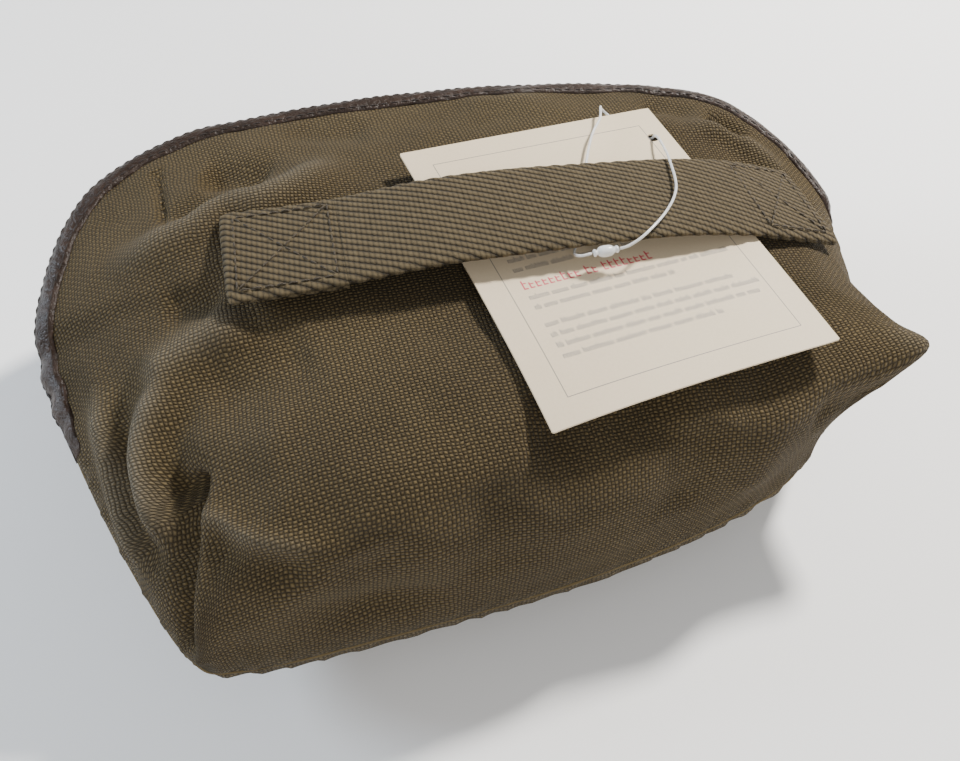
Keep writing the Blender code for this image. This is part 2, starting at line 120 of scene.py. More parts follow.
class Merge:
    """Gathers many small closed parts into one object."""

    def __init__(self):
        self.verts, self.faces, self.uvs = [], [], []
        self.count = 0

    def add(self, verts, faces, uvs=None):
        self.verts.append(np.asarray(verts, dtype=float))
        self.uvs.append(np.zeros((len(verts), 2)) if uvs is None else np.asarray(uvs))
        self.faces += [tuple(self.count + i for i in face) for face in faces]
        self.count += len(verts)

    def build(self, name, smooth=True):
        made = new_object(name, np.concatenate(self.verts), self.faces, np.concatenate(self.uvs), smooth)
        return face_out(made)


def catmull(p0, p1, p2, p3, t):
    return 0.5 * (2 * p1 + (p2 - p0) * t + (2 * p0 - 5 * p1 + 4 * p2 - p3) * t ** 2
                  + (3 * p1 - p0 - 3 * p2 + p3) * t ** 3)


def smooth_path(points, steps):
    points = [np.array(p, dtype=float) for p in points]
    ends = [2 * points[0] - points[1], *points, 2 * points[-1] - points[-2]]
    path = [catmull(*ends[i:i + 4], k / steps) for i in range(len(points) - 1) for k in range(steps)]
    return np.array(path + [points[-1]])


def unit(v):
    return v / np.maximum(np.linalg.norm(v, axis=-1, keepdims=True), 1e-12)


# ---------------------------------------------------------------- materials

class Nodes:
    """A short way to write a Principled material's node tree."""

    def __init__(self, name):
        self.material = bpy.data.materials.new(name)
        self.material.use_nodes = True
        self.tree = self.material.node_tree
        self.shader = self.tree.nodes["Principled BSDF"]

    def add(self, kind, **settings):
        node = self.tree.nodes.new(kind)
        for key, value in settings.items():
            setattr(node, key, value)
        return node

    def link(self, source, target):
        self.tree.links.new(source, target)

    def feed(self, socket, value):
        if isinstance(value, bpy.types.NodeSocket):
            self.link(value, socket)
        else:
            socket.default_value = value

    def math(self, operation, *values):
        node = self.add("ShaderNodeMath", operation=operation)
        for socket, value in zip(node.inputs, values):
            self.feed(socket, value)
        return node.outputs[0]

    def noise(self, vector, scale, detail=3.0, roughness=0.55):
        node = self.add("ShaderNodeTexNoise")
        self.link(vector, node.inputs["Vector"])
        node.inputs["Scale"].default_value = scale
        node.inputs["Detail"].default_value = detail
        node.inputs["Roughness"].default_value = roughness
        return node.outputs["Fac"]

    def ramp(self, value, *stops):
        node = self.add("ShaderNodeValToRGB")
        self.link(value, node.inputs["Fac"])
        while len(node.color_ramp.elements) < len(stops):
            node.color_ramp.elements.new(0.5)
        for element, (place, colour) in zip(node.color_ramp.elements, stops):
            element.position = place
            element.color = (*colour, 1)
        return node.outputs["Color"]

    def mix(self, factor, first, second, blend="MIX"):
        node = self.add("ShaderNodeMix", data_type="RGBA", blend_type=blend)
        self.feed(node.inputs["Factor"], factor)
        for socket, value in ((node.inputs["A"], first), (node.inputs["B"], second)):
            if isinstance(value, bpy.types.NodeSocket):
                self.link(value, socket)
            else:
                socket.default_value = (*value, 1)
        return node.outputs["Result"]

    def bump(self, height, distance, strength=1.0, normal=None):
        node = self.add("ShaderNodeBump")
        node.inputs["Strength"].default_value = strength
        node.inputs["Distance"].default_value = distance
        self.link(height, node.inputs["Height"])
        if normal is not None:
            self.link(normal, node.inputs["Normal"])
        return node.outputs["Normal"]

    def finish(self, colour, roughness, normal=None, **constants):
        self.feed(self.shader.inputs["Base Color"],
                  colour if isinstance(colour, bpy.types.NodeSocket) else (*colour, 1))
        self.feed(self.shader.inputs["Roughness"], roughness)
        if normal is not None:
            self.link(normal, self.shader.inputs["Normal"])
        for key, value in constants.items():
            self.shader.inputs[key.replace("_", " ")].default_value = value
        return self.material


def canvas_material(name, dark, light, worn_and_lit, pitch_u=0.00126, pitch_v=0.00105):
    """Coarse plain weave: threads pass over and under each other in a checked lattice."""
    n = Nodes(name)
    place = n.add("ShaderNodeTexCoord")
    weave = n.add("ShaderNodeSeparateXYZ")
    wander = n.add("ShaderNodeVectorMath", operation="MULTIPLY_ADD")
    drift = n.add("ShaderNodeTexNoise")
    n.link(place.outputs["UV"], drift.inputs["Vector"])
    drift.inputs["Scale"].default_value = 210
    drift.inputs["Detail"].default_value = 2
    n.link(drift.outputs["Color"], wander.inputs[0])
    wander.inputs[1].default_value = (0.0014, 0.0014, 0)
    n.link(place.outputs["UV"], wander.inputs[2])
    n.link(wander.outputs[0], weave.inputs[0])
    across = n.math("SINE", n.math("MULTIPLY", weave.outputs["X"], pi / pitch_u))
    along = n.math("SINE", n.math("MULTIPLY", weave.outputs["Y"], pi / pitch_v))
    over = n.math("MULTIPLY", across, along)
    knots = n.math("POWER", n.math("ABSOLUTE", over), 0.85)
    warp_up = n.math("GREATER_THAN", over, 0.0)
    fibres = n.noise(place.outputs["UV"], 2600, 3, 0.7)
    thread = n.noise(place.outputs["UV"], 520, 3, 0.7)
    blotch = n.noise(place.outputs["Object"], 16, 4, 0.6)
    height = n.math("ADD", n.math("MULTIPLY", knots, n.math("ADD", 0.75, n.math("MULTIPLY", thread, 0.5))),
                    n.math("MULTIPLY", fibres, 0.25))
    # Painted shade and highlight: the colour darkens between the thread crossings and lightens on the raised
    # knots, most on the warp knots, with random thread tone mixed in.
    shade = n.math("ADD", n.math("MULTIPLY", knots, 0.50), n.math("MULTIPLY", thread, 0.62))
    base = n.ramp(shade, (0.12, [c * 0.55 for c in dark]), (0.50, dark), (0.98, [c * 0.92 for c in light]))
    lit = n.math("MULTIPLY", n.math("MULTIPLY", warp_up, knots), 0.72)
    base = n.mix(lit, base, [c * 1.25 for c in light])
    # The wear attribute lightens the canvas towards the pale worn colour: real wear along rubbed seam edges,
    # and on fold ridges partly wear and partly painted highlight.
    wear = n.add("ShaderNodeAttribute", attribute_name="wear")
    worn_and_lit_by = n.math("MULTIPLY", wear.outputs["Fac"], n.math("ADD", 0.25, n.math("MULTIPLY", knots, 0.6)))
    base = n.mix(worn_and_lit_by, base, worn_and_lit)
    patchy = n.ramp(blotch, (0.30, (0.80, 0.79, 0.78)), (0.70, (1.16, 1.15, 1.13)))
    base = n.mix(1.0, base, patchy, "MULTIPLY")
    normal = n.bump(height, 0.00052, 1.0)
    return n.finish(base, 0.92, normal, Sheen_Weight=0.03, Sheen_Roughness=0.45, Specular_IOR_Level=0.22)


def webbing_material(name, dark, light):
    """Heavy twill webbing: the ribs are in the mesh, and the plied yarns are in this bump."""
    n = Nodes(name)
    place = n.add("ShaderNodeTexCoord")
    parts = n.add("ShaderNodeSeparateXYZ")
    n.link(place.outputs["UV"], parts.inputs[0])
    u, v = parts.outputs["X"], parts.outputs["Y"]
    slope = radians(26)
    ribs = n.math("ADD", n.math("MULTIPLY", u, sin(slope)), n.math("MULTIPLY", v, cos(slope)))
    runs = n.math("SUBTRACT", n.math("MULTIPLY", u, cos(slope)), n.math("MULTIPLY", v, sin(slope)))
    rib = n.math("ABSOLUTE", n.math("SINE", n.math("MULTIPLY", ribs, pi / 0.00232)))
    ply = n.math("ABSOLUTE", n.math("SINE", n.math("ADD", n.math("MULTIPLY", runs, pi / 0.0017),
                                                   n.math("MULTIPLY", ribs, pi / 0.0040))))
    fibres = n.noise(place.outputs["UV"], 2400, 3, 0.7)
    thread = n.noise(place.outputs["UV"], 260, 2, 0.6)
    height = n.math("ADD", n.math("MULTIPLY", n.math("POWER", rib, 0.6), 1.0), n.math("MULTIPLY", ply, 0.42))
    height = n.math("ADD", height, n.math("MULTIPLY", fibres, 0.3))
    # Painted shade: the colour darkens sharply in the grooves between the ribs and lightens on the rib tops,
    # with random yarn tone mixed in.
    shade = n.math("ADD", n.math("MULTIPLY", n.math("POWER", rib, 0.5), 0.62), n.math("MULTIPLY", ply, 0.16))
    shade = n.math("ADD", shade, n.math("MULTIPLY", thread, 0.26))
    base = n.ramp(shade, (0.24, [c * 0.20 for c in dark]), (0.60, dark), (0.98, light))
    normal = n.bump(height, 0.00050, 0.9)
    return n.finish(base, 0.88, normal, Sheen_Weight=0.03, Sheen_Roughness=0.45, Specular_IOR_Level=0.25)


def hide_material(name, dark, light):
    """Soft leather-look strip with fine creases and a satin surface."""
    n = Nodes(name)
    place = n.add("ShaderNodeTexCoord").outputs["Object"]
    cells = n.add("ShaderNodeTexVoronoi", feature="DISTANCE_TO_EDGE")
    n.link(place, cells.inputs["Vector"])
    cells.inputs["Scale"].default_value = 620
    grain = n.math("MINIMUM", cells.outputs["Distance"], 0.25)
    crinkle = n.noise(place, 330, 4, 0.6)
    broad = n.noise(place, 70, 3, 0.6)
    # Painted shade: the crinkle noise that raises the surface also lightens it, so the crease hollows are
    # darker; the broad noise is random tone.
    base = n.ramp(n.math("ADD", n.math("MULTIPLY", crinkle, 0.6), n.math("MULTIPLY", broad, 0.4)),
                  (0.32, dark), (0.68, light))
    height = n.math("ADD", n.math("MULTIPLY", grain, 0.7), n.math("MULTIPLY", crinkle, 2.2))
    normal = n.bump(height, 0.00050, 0.9)
    rough = n.math("ADD", 0.26, n.math("MULTIPLY", crinkle, 0.34))
    return n.finish(base, rough, normal, Specular_IOR_Level=0.22)


def fine_weave_material(name, colour, pitch, strength=0.7):
    n = Nodes(name)
    place = n.add("ShaderNodeTexCoord").outputs["Object"]
    parts = n.add("ShaderNodeSeparateXYZ")
    n.link(place, parts.inputs[0])
    warp = n.math("ADD", parts.outputs["X"], parts.outputs["Z"])
    weft = n.math("SUBTRACT", parts.outputs["Y"], parts.outputs["Z"])
    first = n.math("SINE", n.math("MULTIPLY", warp, tau / pitch))
    second = n.math("SINE", n.math("MULTIPLY", weft, tau / pitch))
    height = n.math("ABSOLUTE", n.math("MULTIPLY", first, second))
    grain = n.noise(place, 900, 3, 0.6)
    # Painted shade: the colour is darker in the weave's hollows and lighter on the raised crossings, mixed
    # with random grain.
    base = n.ramp(n.math("ADD", n.math("MULTIPLY", height, 0.5), n.math("MULTIPLY", grain, 0.5)),
                  (0.2, [c * 0.6 for c in colour]), (0.8, [c * 1.35 for c in colour]))
    return n.finish(base, 0.85, n.bump(height, 0.00015, strength), Sheen_Weight=0.10, Sheen_Roughness=0.45)


def yarn_material(name, colour):
    n = Nodes(name)
    place = n.add("ShaderNodeTexCoord").outputs["Object"]
    wave = n.add("ShaderNodeTexWave", wave_type="BANDS", bands_direction="DIAGONAL")
    n.link(place, wave.inputs["Vector"])
    wave.inputs["Scale"].default_value = 900
    wave.inputs["Distortion"].default_value = 2
    # Painted shade: the twist bands are darker where the bump is low and lighter where it is raised.
    base = n.ramp(wave.outputs["Fac"], (0.1, [c * 0.7 for c in colour]), (0.9, [c * 1.25 for c in colour]))
    return n.finish(base, 0.75, n.bump(wave.outputs["Fac"], 0.00012, 0.6))


def metal_material(name, colour):
    n = Nodes(name)
    place = n.add("ShaderNodeTexCoord").outputs["Object"]
    wear = n.noise(place, 350, 4, 0.6)
    base = n.ramp(wear, (0.35, [c * 0.55 for c in colour]), (0.62, colour))
    rough = n.math("ADD", 0.24, n.math("MULTIPLY", wear, 0.3))
    return n.finish(base, rough, n.bump(wear, 0.00008, 0.4), Metallic=1.0)


def paper_material(name):
    n = Nodes(name)
    place = n.add("ShaderNodeTexCoord").outputs["Object"]
    fibre = n.noise(place, 1100, 5, 0.65)
    cloud = n.noise(place, 22, 3, 0.5)
    base = n.ramp(n.math("ADD", n.math("MULTIPLY", fibre, 0.5), n.math("MULTIPLY", cloud, 0.5)),
                  (0.3, (0.590, 0.480, 0.325)), (0.7, (0.650, 0.540, 0.385)))
    return n.finish(base, 0.62, n.bump(fibre, 0.00005, 0.5))


def ink_material(name, colour):
    n = Nodes(name)
    place = n.add("ShaderNodeTexCoord").outputs["Object"]
    fade = n.noise(place, 1800, 3, 0.7)
    base = n.ramp(fade, (0.3, colour), (0.8, [min(1, c * 1.25 + 0.04) for c in colour]))
    return n.finish(base, 0.6)


def plastic_material(name, colour, rough=0.28, clear=0.0):
    n = Nodes(name)
    place = n.add("ShaderNodeTexCoord").outputs["Object"]
    wave = n.noise(place, 500, 3, 0.5)
    base = n.ramp(wave, (0.3, [c * 0.92 for c in colour]), (0.7, colour))
    shine = n.math("ADD", rough - 0.05, n.math("MULTIPLY", wave, 0.1))
    return n.finish(base, shine, n.bump(wave, 0.00003, 0.4), Transmission_Weight=clear, IOR=1.49)


# The canvas's third colour is the pale worn tone, used for real wear and for painted highlight on fold
# ridges.
CANVAS = canvas_material("canvas_look", (0.034, 0.0240, 0.0105), (0.116, 0.085, 0.0390),
                         (0.215, 0.190, 0.145))
WEBBING = webbing_material("webbing_look", (0.032, 0.0235, 0.0118), (0.112, 0.085, 0.045))
HIDE = hide_material("hide_look", (0.010, 0.0058, 0.0038), (0.038, 0.022, 0.015))
LINING = fine_weave_material("lining_look", (0.035, 0.045, 0.085), 0.0007)
TAPE = fine_weave_material("tape_look", (0.026, 0.020, 0.013), 0.0009)
NYLON = plastic_material("nylon_look", (0.020, 0.016, 0.011), 0.42)
METAL = metal_material("metal_look", (0.360, 0.300, 0.210))
PAPER = paper_material("paper_look")
INK = ink_material("ink_look", (0.150, 0.140, 0.135))
INK_RED = ink_material("heading_look", (0.440, 0.022, 0.055))
YARN = yarn_material("yarn_look", (0.042, 0.031, 0.017))
YARN_DARK = yarn_material("dark_yarn_look", (0.016, 0.010, 0.008))
CLEAR = plastic_material("clear_look", (0.900, 0.905, 0.900), 0.22, 0.35)


def dress(made, material):
    made.data.materials.clear()
    made.data.materials.append(material)
    return made


# ---------------------------------------------------------------- outline, as the CAD part has it

CROWN_Z, BACK_SAG = 0.082, 0.006
CENTRE = np.array([0.0, -0.011])
TILT = radians(13.0)
ZIP_Y, ZIP_Z = 0.012, 0.0465
ARC_RADIUS, ARC_TOP, ARC_X, ARC_HALF = 0.416, 0.097, -0.022, 0.090
ZIP_GAP, SEAM_GAP = 0.0050, 0.0002
STEPS = 14
ZIP_NORMAL = np.array([0.0, -sin(TILT), cos(TILT)])
UP = np.array([0.0, 0.0, 1.0])


def on_zip_plane(x, rise):
    return (x, ZIP_Y + rise * cos(TILT), ZIP_Z + rise * sin(TILT))


def outline_points():
    points = [(-0.1130, -0.0765, 0.026), (-0.1255, -0.0480, 0.034), (-0.1350, -0.0180, 0.042)]
    points += [on_zip_plane(-0.144, 0.010), on_zip_plane(-0.139, 0.042), on_zip_plane(-0.122, 0.074)]
    for i in range(9):
        x = -ARC_HALF + 2 * ARC_HALF * i / 8
        points.append(on_zip_plane(x, ARC_TOP - ARC_RADIUS + sqrt(ARC_RADIUS ** 2 - (x - ARC_X) ** 2)))
    points += [on_zip_plane(0.114, 0.069), on_zip_plane(0.130, 0.040), on_zip_plane(0.134, 0.004)]
    points += [(0.122, -0.024, 0.038), (0.102, -0.048, 0.030), (0.082, -0.064, 0.025), (0.048, -0.074, 0.023),
               (0.0, -0.081, 0.023), (-0.056, -0.084, 0.024), (-0.099, -0.084, 0.025)]
    return np.array(points)


CONTROL = outline_points()
ZIP_FIRST, ZIP_LAST = 3, 17


def ease(t):
    t = np.clip(t, 0, 1)
    return t * t * (3 - 2 * t)


class Outline:
    """Every station's point, direction, seam normal, way inwards and half the zip's gap."""

    def __init__(self):
        count = len(CONTROL)
        points, aheads, places = [], [], []
        for i in range(count):
            span = [CONTROL[(i + k) % count] for k in (-1, 0, 1, 2)]
            for step in range(STEPS):
                t = step / STEPS
                points.append(catmull(*span, t))
                aheads.append(catmull(*span, t + 0.01))
                places.append(i + t)
        self.point = np.array(points)
        self.place = np.array(places)
        self.along = unit(np.array(aheads) - self.point)
        on_zip = ease((self.place - ZIP_FIRST + 1.0)) * ease((ZIP_LAST + 1.0 - self.place))
        self.across = unit(UP + (ZIP_NORMAL - UP) * on_zip[:, None])
        self.inward = unit(np.cross(self.along, self.across))
        opened = ease((self.place - ZIP_FIRST) * 2.5) * ease((ZIP_LAST - self.place) * 2.5)
        self.gap = SEAM_GAP + (ZIP_GAP - SEAM_GAP) * opened
        self.opened = opened
        self.count = len(self.point)
        steps = np.linalg.norm(np.roll(self.point, -1, axis=0) - self.point, axis=1)
        self.run = np.concatenate([[0], np.cumsum(steps)[:-1]])


OUT = Outline()
ZIP_RUN = np.arange(ZIP_FIRST * STEPS + 2, ZIP_LAST * STEPS - 1)
BINDING_RUN = np.arange(2 * STEPS + 2, ZIP_LAST * STEPS - 1)

PUSHES = (
    ((0.112, -0.053, 0.066), (0.027, 0.021, 0.021), (0.018, -0.005, 0.000)),
    ((0.134, -0.058, 0.064), (0.019, 0.016, 0.015), (0.021, -0.003, 0.004)),
    ((-0.074, 0.020, 0.074), (0.042, 0.044, 0.030), (0.000, 0.000, 0.0062)),
    ((0.109, 0.036, 0.072), (0.026, 0.018, 0.030), (0.000, 0.000, -0.0045)),
    ((0.108, -0.010, 0.067), (0.024, 0.018, 0.030), (0.000, 0.000, 0.0030)),
)


def base_skin(side, turns):
    """The plain domed skin, an array of (station, row, xyz), as the CAD part has it."""
    start = OUT.point + OUT.across * (side * OUT.gap)[:, None]
    angle = np.arctan2(OUT.point[:, 1] - CENTRE[1], OUT.point[:, 0] - CENTRE[0])
    base = np.minimum(1, 1.35 * np.maximum(0, -np.sin(angle))) ** 2
    left = np.maximum(0, -np.cos(angle)) * (1 - base)
    right = np.maximum(0, np.cos(angle)) * (1 - base)
    spread = 2.0 + 2.2 * base + 0.5 * left + 1.0 * right
    rise = 1.22 + 2.2 * base + 0.25 * left + 0.55 * right
    if side < 0:
        spread, rise = 2.0 + 0.3 * (spread - 2.0), 1.2 + 0.3 * (rise - 1.2)
    turn = np.asarray(turns)[None, :]
    rho = np.cos(np.clip(turn, 0, 1) * pi / 2) ** (2 / spread[:, None])
    rho[:, -1] = 0
    lift = np.maximum(0, 1 - rho ** spread[:, None]) ** (1 / rise[:, None])
    crown = CROWN_Z if side > 0 else -BACK_SAG
    skin = np.empty(rho.shape + (3,))
    skin[..., :2] = CENTRE + (start[:, None, :2] - CENTRE) * rho[..., None]
    skin[..., 2] = start[:, None, 2] + (crown - start[:, None, 2]) * lift
    if side < 0:
        skin[..., 2] = np.maximum(skin[..., 2], 0)
    moved = skin.copy()
    share = np.minimum(1, lift / 0.5) ** 2
    for centre, radii, push in PUSHES:
        reach = (((skin - np.array(centre)) / np.array(radii)) ** 2).sum(-1)
        moved += np.array(push) * (share * np.exp(-reach))[..., None]
    return moved


def grid_normals(grid, side):
    along = np.roll(grid, -1, axis=0) - np.roll(grid, 1, axis=0)
    inner = np.gradient(grid, axis=1)
    normal = unit(np.cross(along, inner)) * -side
    normal[:, -1] = (0, 0, side)
    return normal


# ---------------------------------------------------------------- folds and creases

def line_distance(points, line):
    """Each point's distance to a polyline, and how far along the line that is, from 0 to 1."""
    line = np.array(line, dtype=float)
    flat = points.reshape(-1, 3)
    best = np.full(len(flat), 1e9)
    share = np.zeros(len(flat))
    side = np.zeros((len(flat), 3))
    lengths = np.linalg.norm(np.diff(line, axis=0), axis=1)
    total = lengths.sum()
    done = 0.0
    for a, b, length in zip(line[:-1], line[1:], lengths):
        t = np.clip(((flat - a) @ (b - a)) / length ** 2, 0, 1)
        gap = flat - (a + t[:, None] * (b - a))
        dist = np.linalg.norm(gap, axis=1)
        near = dist < best
        best[near] = dist[near]
        side[near] = gap[near]
        share[near] = (done + t[near] * length) / total
        done += length
    shape = points.shape[:-1]
    return best.reshape(shape), share.reshape(shape), side.reshape(points.shape)


def mm(*points):
    return smooth_path([tuple(c / 1000 for c in p) for p in points], 5)


# Each fold: its line, half width and height in metres (minus for a valley), how much its ridge is lightened,
# partly as wear and partly as painted highlight.
# Heights are multiplied by FOLD_GAIN.
FOLD_GAIN = 1.6
FOLDS = (
    (mm((-34, 66, 81), (-64, 45, 83), (-79, 45, 82), (-90, 38, 81), (-107, 36, 77), (-121, 38, 71)),
     0.0080, 0.0036, 0.40),
    (mm((-86, 71, 78), (-74, 67, 80), (-62, 60, 81)), 0.0085, -0.0040, 0),
    (mm((-98, 47, 79), (-86, 52, 81), (-74, 55, 82)), 0.0060, -0.0018, 0),
    (mm((-112, -12, 67), (-101, -6, 73), (-90, -4, 78), (-76, -3, 82)), 0.0085, 0.0032, 0.45),
    (mm((-104, 12, 74), (-92, 10, 79), (-84, 6, 82)), 0.0080, -0.0024, 0),
    (mm((-97, -22, 72), (-78, -20, 77), (-60, -18, 80)), 0.0110, -0.0022, 0),
    (mm((-104, -30, 68), (-90, -38, 75), (-70, -46, 79)), 0.0100, 0.0016, 0.1),
    (mm((-100, -46, 66), (-98, -55, 66), (-94, -62, 67), (-90, -68, 68), (-80, -73, 68), (-68, -77, 66)),
     0.0032, 0.0017, 0.35),
    (mm((-99, -58, 61), (-93, -69, 62), (-84, -76, 62), (-72, -79, 61)), 0.0050, -0.0016, 0),
    (mm((-104, -8, 71), (-108, -18, 67), (-113, -26, 62), (-114, -36, 58), (-112, -46, 54), (-110, -58, 50)),
     0.0066, 0.0050, 0.80),
    (mm((-117, -14, 61), (-120, -30, 54), (-117, -48, 49), (-112, -62, 45)), 0.0050, -0.0036, 0),
    (mm((-126, 2, 60), (-125, -14, 57), (-124, -29, 52), (-121, -45, 46), (-115, -60, 41)),
     0.0060, 0.0036, 0.60),
    (mm((-105, -34, 64), (-108, -46, 57), (-109, -58, 52), (-110, -69, 44)), 0.0040, -0.0042, 0),
    (mm((100, 68, 74), (106, 61, 73), (113, 54, 71)), 0.0058, -0.0034, 0),
    (mm((86, 58, 76), (98, 57, 75), (107, 52, 72), (114, 42, 69), (117, 28, 67)), 0.0050, 0.0024, 0.2),
    (mm((96, 66, 76), (88, 72, 76), (76, 76, 76)), 0.0060, -0.0016, 0),
    (mm((-27, -67, 74), (-24, -80, 56), (-22, -84, 40)), 0.0120, -0.0014, 0),
    (mm((42, -62, 72), (37, -74, 55), (33, -78, 40)), 0.0110, -0.0020, 0),
    (mm((66, -58, 68), (62, -68, 50), (58, -72, 36)), 0.0100, 0.0018, 0),
    (mm((-62, -78, 66), (-58, -86, 46), (-56, -87, 34)), 0.0110, -0.0016, 0),
    (mm((-84, -80, 48), (-60, -86, 42), (-34, -85, 40)), 0.0070, -0.0016, 0),
    (mm((-14, -60, 76), (0, -63, 76), (16, -62, 77), (40, -56, 76)), 0.0170, -0.0036, 0),
    (mm((84, -44, 66), (96, -46, 64), (108, -50, 62)), 0.0070, 0.0020, 0.3),
    (mm((72, -60, 58), (84, -58, 56), (94, -56, 52)), 0.0060, -0.0022, 0),
    (mm((10, 96, 72), (30, 92, 74), (46, 84, 77)), 0.0080, 0.0012, 0.1),
    (mm((-52, 90, 72), (-40, 84, 76), (-24, 80, 78)), 0.0080, -0.0014, 0),
)

BACK_FOLDS = (
    (mm((-90, 60, 34), (-60, 66, 30), (-20, 68, 28)), 0.010, -0.0020, 0),
    (mm((30, 70, 34), (70, 62, 32), (100, 46, 32)), 0.010, -0.0022, 0),
    (mm((-124, -20, 26), (-112, -10, 16), (-96, 0, 8)), 0.008, -0.0018, 0),
    (mm((112, -10, 24), (100, 0, 14), (88, 8, 8)), 0.008, -0.0018, 0),
)

DART_LINES = (
    (mm((-99, 80, 74), (-99, 62, 77), (-99, 43, 79)), 0.0014, -0.0026),
    (mm((101, 76, 72), (103, 62, 73), (104, 50, 73)), 0.0011, -0.0013),
)


def unevenness(point):
    """The cloth's own slack: broad swells of about 1 mm with smaller ones on them."""
    return 0.0011 * noise.noise(point * 38) + 0.0006 * noise.noise(point * 95 + Vector((7, 3, 1)))


def sculpt(grid, side):
    """The skin with its folds, darts, pinched corner and standing corner, and how pale each place is: wear at
    the seams, wear and painted highlight on fold ridges.
    """
    normal = grid_normals(grid, side)
    wear = np.zeros(grid.shape[:2])
    height = np.zeros(grid.shape[:2])
    for line, width, tall, worn_and_lit in (FOLDS if side > 0 else BACK_FOLDS):
        dist, share, _ = line_distance(grid, line)
        ends = ease(share / 0.25) * ease((1 - share) / 0.25)
        form = np.exp(-(dist / width) ** 2) * (0.15 + 0.85 * ends)
        height += FOLD_GAIN * tall * form
        # Fold ridges are lightened: partly wear, partly painted highlight on their lit tops.
        wear += worn_and_lit * np.exp(-(dist / (0.55 * width)) ** 2) * ends
    if side > 0:
        for line, width, tall in DART_LINES:
            dist, share, _ = line_distance(grid, line)
            height += tall * np.exp(-(dist / width) ** 2) * ease((1 - share) / 0.3)
    height += np.array([[unevenness(Vector(p)) for p in row] for row in grid])
    rim = np.linalg.norm(grid - grid[:, :1], axis=2)
    keep = ease((rim - 0.002) / 0.012)
    seam = 1 - OUT.opened
    ripple = np.sin(OUT.run * tau / 0.011 + 1.7 * np.sin(OUT.run * 90))[:, None]
    pucker = 0.0009 * ripple * np.exp(-(rim / 0.006) ** 2)
    height = height * keep + pucker * seam[:, None] * ease(rim / 0.002)
    if side < 0:
        floor = ease((grid[..., 2] - 0.001) / 0.008)
        height = height * floor
    moved = grid + normal * height[..., None]
    rubbed = seam[:, None] * 0.6 * np.exp(-(rim / 0.0022) ** 2)
    wear = np.clip(wear + rubbed, 0, 1) * np.clip(0.2 + rim / 0.002, 0, 1)
    if side > 0:
        moved = stand_corner(moved)
        moved = pinch_corner(moved)
    else:
        moved[..., 2] = np.maximum(moved[..., 2], 0.0)
    return moved, wear


def stand_corner(points):
    """The right base corner is an ear of cloth that stands out to a rounded point."""
    root = np.array([0.0860, -0.0490, 0.0670])
    tip = np.array([0.1310, -0.0580, 0.0715])
    axis = tip - root
    axis = axis / np.linalg.norm(axis)
    gap = points - root
    ahead = gap @ axis
    side = gap - ahead[..., None] * axis
    broad = np.sqrt((side[..., 0] / 0.024) ** 2 + (side[..., 1] / 0.029) ** 2 + (side[..., 2] / 0.0165) ** 2)
    fine = np.sqrt((side[..., 0] / 0.015) ** 2 + (side[..., 1] / 0.017) ** 2 + (side[..., 2] / 0.014) ** 2)
    near = ease((ahead + 0.026) / 0.036)
    form = (0.70 * np.exp(-broad ** 1.7) + 0.30 * np.exp(-fine ** 1.5)) * near
    moved = points + axis * (0.033 * form)[..., None]
    flatten = 0.35 * np.clip(1.3 * form, 0, 1) * ease(ahead / 0.02)
    return moved - side * (flatten[..., None] * np.array([0.2, 0.0, 1.0]))


def pinch_corner(points):
    """The left base corner's dart: the end face tucks in behind the front along a line down to the seam."""
    line = mm((-99, -44, 70), (-102, -54, 62), (-105, -66, 55), (-109, -76, 42), (-112, -79, 30))
    dist, share, side = line_distance(points, line)
    left = side[..., 0] * -0.75 + side[..., 1] * 0.66
    tuck = np.exp(-((left - 0.0030) / 0.0042) ** 2) * np.exp(-(dist / 0.010) ** 2)
    tuck *= ease(share / 0.12) * ease((1 - share) / 0.18)
    swell = np.exp(-((left + 0.0035) / 0.0045) ** 2) * np.exp(-(dist / 0.012) ** 2)
    swell *= ease(share / 0.10) * ease((1 - share) / 0.10)
    pocket = (points - np.array([-0.1035, -0.0470, 0.0640])) / np.array([0.0050, 0.0060, 0.0080])
    tuck = tuck + 0.45 * np.exp(-(pocket ** 2).sum(-1))
    way = np.array([0.80, 0.30, -0.35])
    out = np.array([-0.55, -0.75, 0.15])
    return points + way * (0.0110 * tuck)[..., None] + out * (0.0040 * swell)[..., None]


ROWS = 112
TURNS = np.concatenate([np.linspace(0, 0.12, 16)[:-1], np.linspace(0.12, 1.0, ROWS - 15)])


class Skin:
    """One half of the pouch: its sculpted grid, normals, arc lengths and weave coordinates."""

    def __init__(self, side):
        self.side = side
        plain = base_skin(side, TURNS)
        self.grid, self.wear = sculpt(plain, side)
        self.normal = grid_normals(self.grid, side)
        steps = np.linalg.norm(np.diff(self.grid, axis=1), axis=2)
        self.arc = np.concatenate([np.zeros((OUT.count, 1)), np.cumsum(steps, axis=1)], axis=1)
        plan = np.linalg.norm(np.diff(plain[..., :2], axis=1), axis=2)
        real = 0.15 * np.linalg.norm(np.diff(plain, axis=1), axis=2) + 0.85 * steps
        extra = (real - plan)[:, ::-1].cumsum(axis=1)[:, ::-1]
        extra = np.concatenate([extra, np.zeros((OUT.count, 1))], axis=1)
        from_rim = ease(self.arc / 0.006)[..., None]
        self.below = unit(OUT.inward[:, None, :] * (1 - from_rim) - self.normal * from_rim)
        outward = unit(-OUT.inward[:, :2])
        self.uv = plain[..., :2] + outward[:, None, :] * extra[..., None]

    def at(self, station, arc, lift=0.0):
        """A point on the skin at a distance in from its edge, raised by lift or sunk below it."""
        arcs = self.arc[station]
        ways = self.below if lift < 0 else self.normal
        point = np.array([np.interp(arc, arcs, self.grid[station, :, k]) for k in range(3)])
        way = np.array([np.interp(arc, arcs, ways[station, :, k]) for k in range(3)])
        return point + unit(way) * abs(lift)


FRONT, BACK = Skin(1), Skin(-1)


